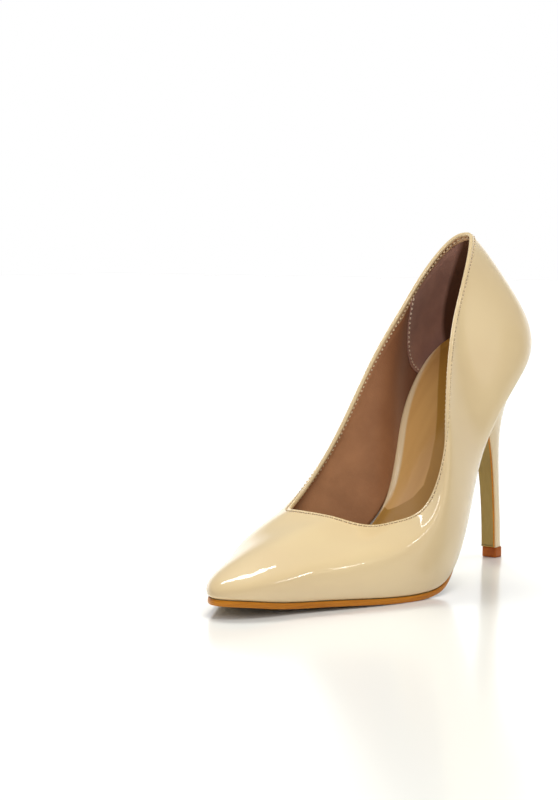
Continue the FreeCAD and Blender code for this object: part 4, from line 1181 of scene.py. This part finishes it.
CAMERA_TURN = 36.18      # degrees round from the toe to the lateral side
CAMERA_REACH = 918.45    # from the shoe's middle, along the ground
CAMERA_HEIGHT = 157.77
CAMERA_AIM = (98.0, 0.0)
CAMERA_YAW, CAMERA_PITCH = 2.73, 4.65
LENS = 91.8


def make_camera():
    data = bpy.data.cameras.new("camera")
    data.sensor_width = 36.0
    data.lens = LENS
    data.clip_end = 50.0
    camera = add_object("camera", data)
    turn = math.radians(CAMERA_TURN)
    camera.location = Vector((CAMERA_AIM[0] + CAMERA_REACH * math.cos(turn),
                              CAMERA_AIM[1] + CAMERA_REACH * math.sin(turn), CAMERA_HEIGHT)) * MM
    heading = turn + math.pi + math.radians(CAMERA_YAW)
    pitch = math.radians(-CAMERA_PITCH)
    forward = Vector((math.cos(heading) * math.cos(pitch), math.sin(heading) * math.cos(pitch),
                      math.sin(pitch)))
    camera.rotation_euler = forward.to_track_quat("-Z", "Y").to_euler()
    bpy.context.scene.camera = camera


SHOE_MIDDLE = (0.10, 0.0, 0.03)      # what the strip lights face, in metres

# Strip lights close over the vamp, in metres: name, one end, other end, width, glow.
STRIPS = [
    ("toe_strip", (0.1307, -0.1527, 0.1975), (0.0952, -0.1169, 0.2079), 0.018, 10.0),
    ("toe_strip_middle", (0.0952, -0.1169, 0.2079), (0.0690, -0.1025, 0.2033), 0.018, 10.0),
    ("toe_strip_back", (0.0690, -0.1025, 0.2033), (0.0448, -0.1008, 0.1933), 0.009, 10.0),
    ("toe_strip_end", (0.0448, -0.1008, 0.1933), (0.0330, -0.0980, 0.1910), 0.004, 10.0),
    ("side_strip", (0.1249, 0.0964, 0.2413), (0.0953, 0.0969, 0.2352), 0.010, 12.0),
    ("side_strip_end", (0.0953, 0.0969, 0.2352), (0.0600, 0.0510, 0.2370), 0.010, 13.0),
]


def add_sky(name, towards, strength, angle, tint):
    """A broad soft light from a direction, which leaves no image of itself in glossy faces."""
    data = bpy.data.lights.new(name, "SUN")
    data.color = tint
    data.energy = strength
    data.angle = math.radians(angle)
    light = add_object(name, data)
    light.rotation_euler = Vector(towards).to_track_quat("Z", "Y").to_euler()
    light.visible_glossy = False


def add_strip(name, start, end, width, glow):
    """A long narrow light that faces the shoe."""
    start, end = Vector(start), Vector(end)
    along = (end - start).normalized()
    away = (start + end) / 2 - Vector(SHOE_MIDDLE)
    away = (away - along * away.dot(along)).normalized()
    data = bpy.data.lights.new(name, "AREA")
    data.shape = "RECTANGLE"
    data.size, data.size_y = (end - start).length, width
    data.energy = glow * math.pi * (end - start).length * width
    light = add_object(name, data)
    light.visible_camera = False
    turn = Matrix((along, away.cross(along), away)).transposed()
    light.matrix_world = Matrix.Translation((start + end) / 2) @ turn.to_4x4()


def make_lights():
    warm, rosy = (1.0, 0.98, 0.82), (1.0, 0.93, 1.0)
    add_sky("rear_light", (-0.60, -0.50, 0.90), 1.9, 22.0, warm)
    add_sky("top_light", (-0.15, 0.20, 1.0), 1.0, 28.0, warm)
    add_sky("front_fill", (0.95, 0.35, 0.45), 0.68, 50.0, rosy)
    for strip in STRIPS:
        add_strip(*strip)


def make_world():
    """White to the camera. As light it is soft, a little brighter round the horizon. Glossy faces
    also see a bright backdrop, a paler side and a dark window."""
    world = bpy.data.worlds.new("studio")
    bpy.context.scene.world = world
    world.use_nodes = True
    world.node_tree.nodes.clear()
    n = Nodes(world.node_tree, "Generated")

    def toward(*direction):
        """Cosine between the looked-up direction and a fixed one."""
        inputs = {0: n.place, 1: Vector(direction).normalized()}
        return n.add("ShaderNodeVectorMath", inputs, operation="DOT_PRODUCT")["Value"]

    def fade(value, *stops):
        """Brightness between two (position, grey) stops."""
        return n.ramp(value, *[(position, (grey, grey, grey, 1.0)) for position, grey in stops])

    height = toward(0, 0, 1)
    dome = fade(height, (0.15, 0.6), (0.5, 0.3))
    low = fade(height, (0.15, 0.35), (0.5, 0.3))
    backdrop = n.math("MULTIPLY", fade(toward(-0.81, -0.59, 0.0), (0.4, 0.0), (0.8, 0.95)),
                      fade(height, (0.2, 1.0), (0.36, 0.0)))
    side = fade(toward(0.0, 1.0, 0.15), (0.55, 0.0), (0.85, 0.5))
    window = fade(toward(-1.0, 1.0, 0.3), (0.955, 1.0), (0.98, 0.2))
    shine = n.math("ADD", n.math("MULTIPLY", n.math("ADD", low, side), window), backdrop)
    rays = n.add("ShaderNodeLightPath", {})

    def background(strength):
        inputs = {"Color": WHITE, "Strength": strength}
        return n.add("ShaderNodeBackground", inputs)["Background"]

    def choose(ray, otherwise, chosen):
        return n.add("ShaderNodeMixShader", {"Fac": rays[ray], 1: otherwise, 2: chosen})["Shader"]

    light = choose("Is Glossy Ray", background(dome), background(shine))
    n.add("ShaderNodeOutputWorld", {"Surface": choose("Is Camera Ray", light, background(1.0))})


def make_floor():
    """Glossy white floor, a hair below the shoe."""
    m = Material("studio_floor", Roughness=0.16, Specular_IOR_Level=0.22)
    m.tones(m.noise(3.0, 1.0), (0.0, (0.93, 0.95, 0.99, 1.0)), (1.0, (0.95, 0.965, 1.0, 1.0)))
    half, level = 5000.0, -0.08
    corners = [(-half, -half, level), (half, -half, level), (half, half, level), (-half, half, level)]
    floor = make_object("studio_floor", corners, [[0, 1, 2, 3]], [m.material])


upper_wall, stitch_lengths, stitch_count = make_upper()
make_topline_thread(upper_wall, stitch_lengths, stitch_count)
make_linings()
make_lining_thread()
make_sock()
make_sole()
make_heel()
make_tip()
finish_inner_pieces()
make_world()
make_floor()
make_lights()
make_camera()
bpy.context.scene.view_settings.view_transform = "Standard"

bpy.context.view_layer.update()
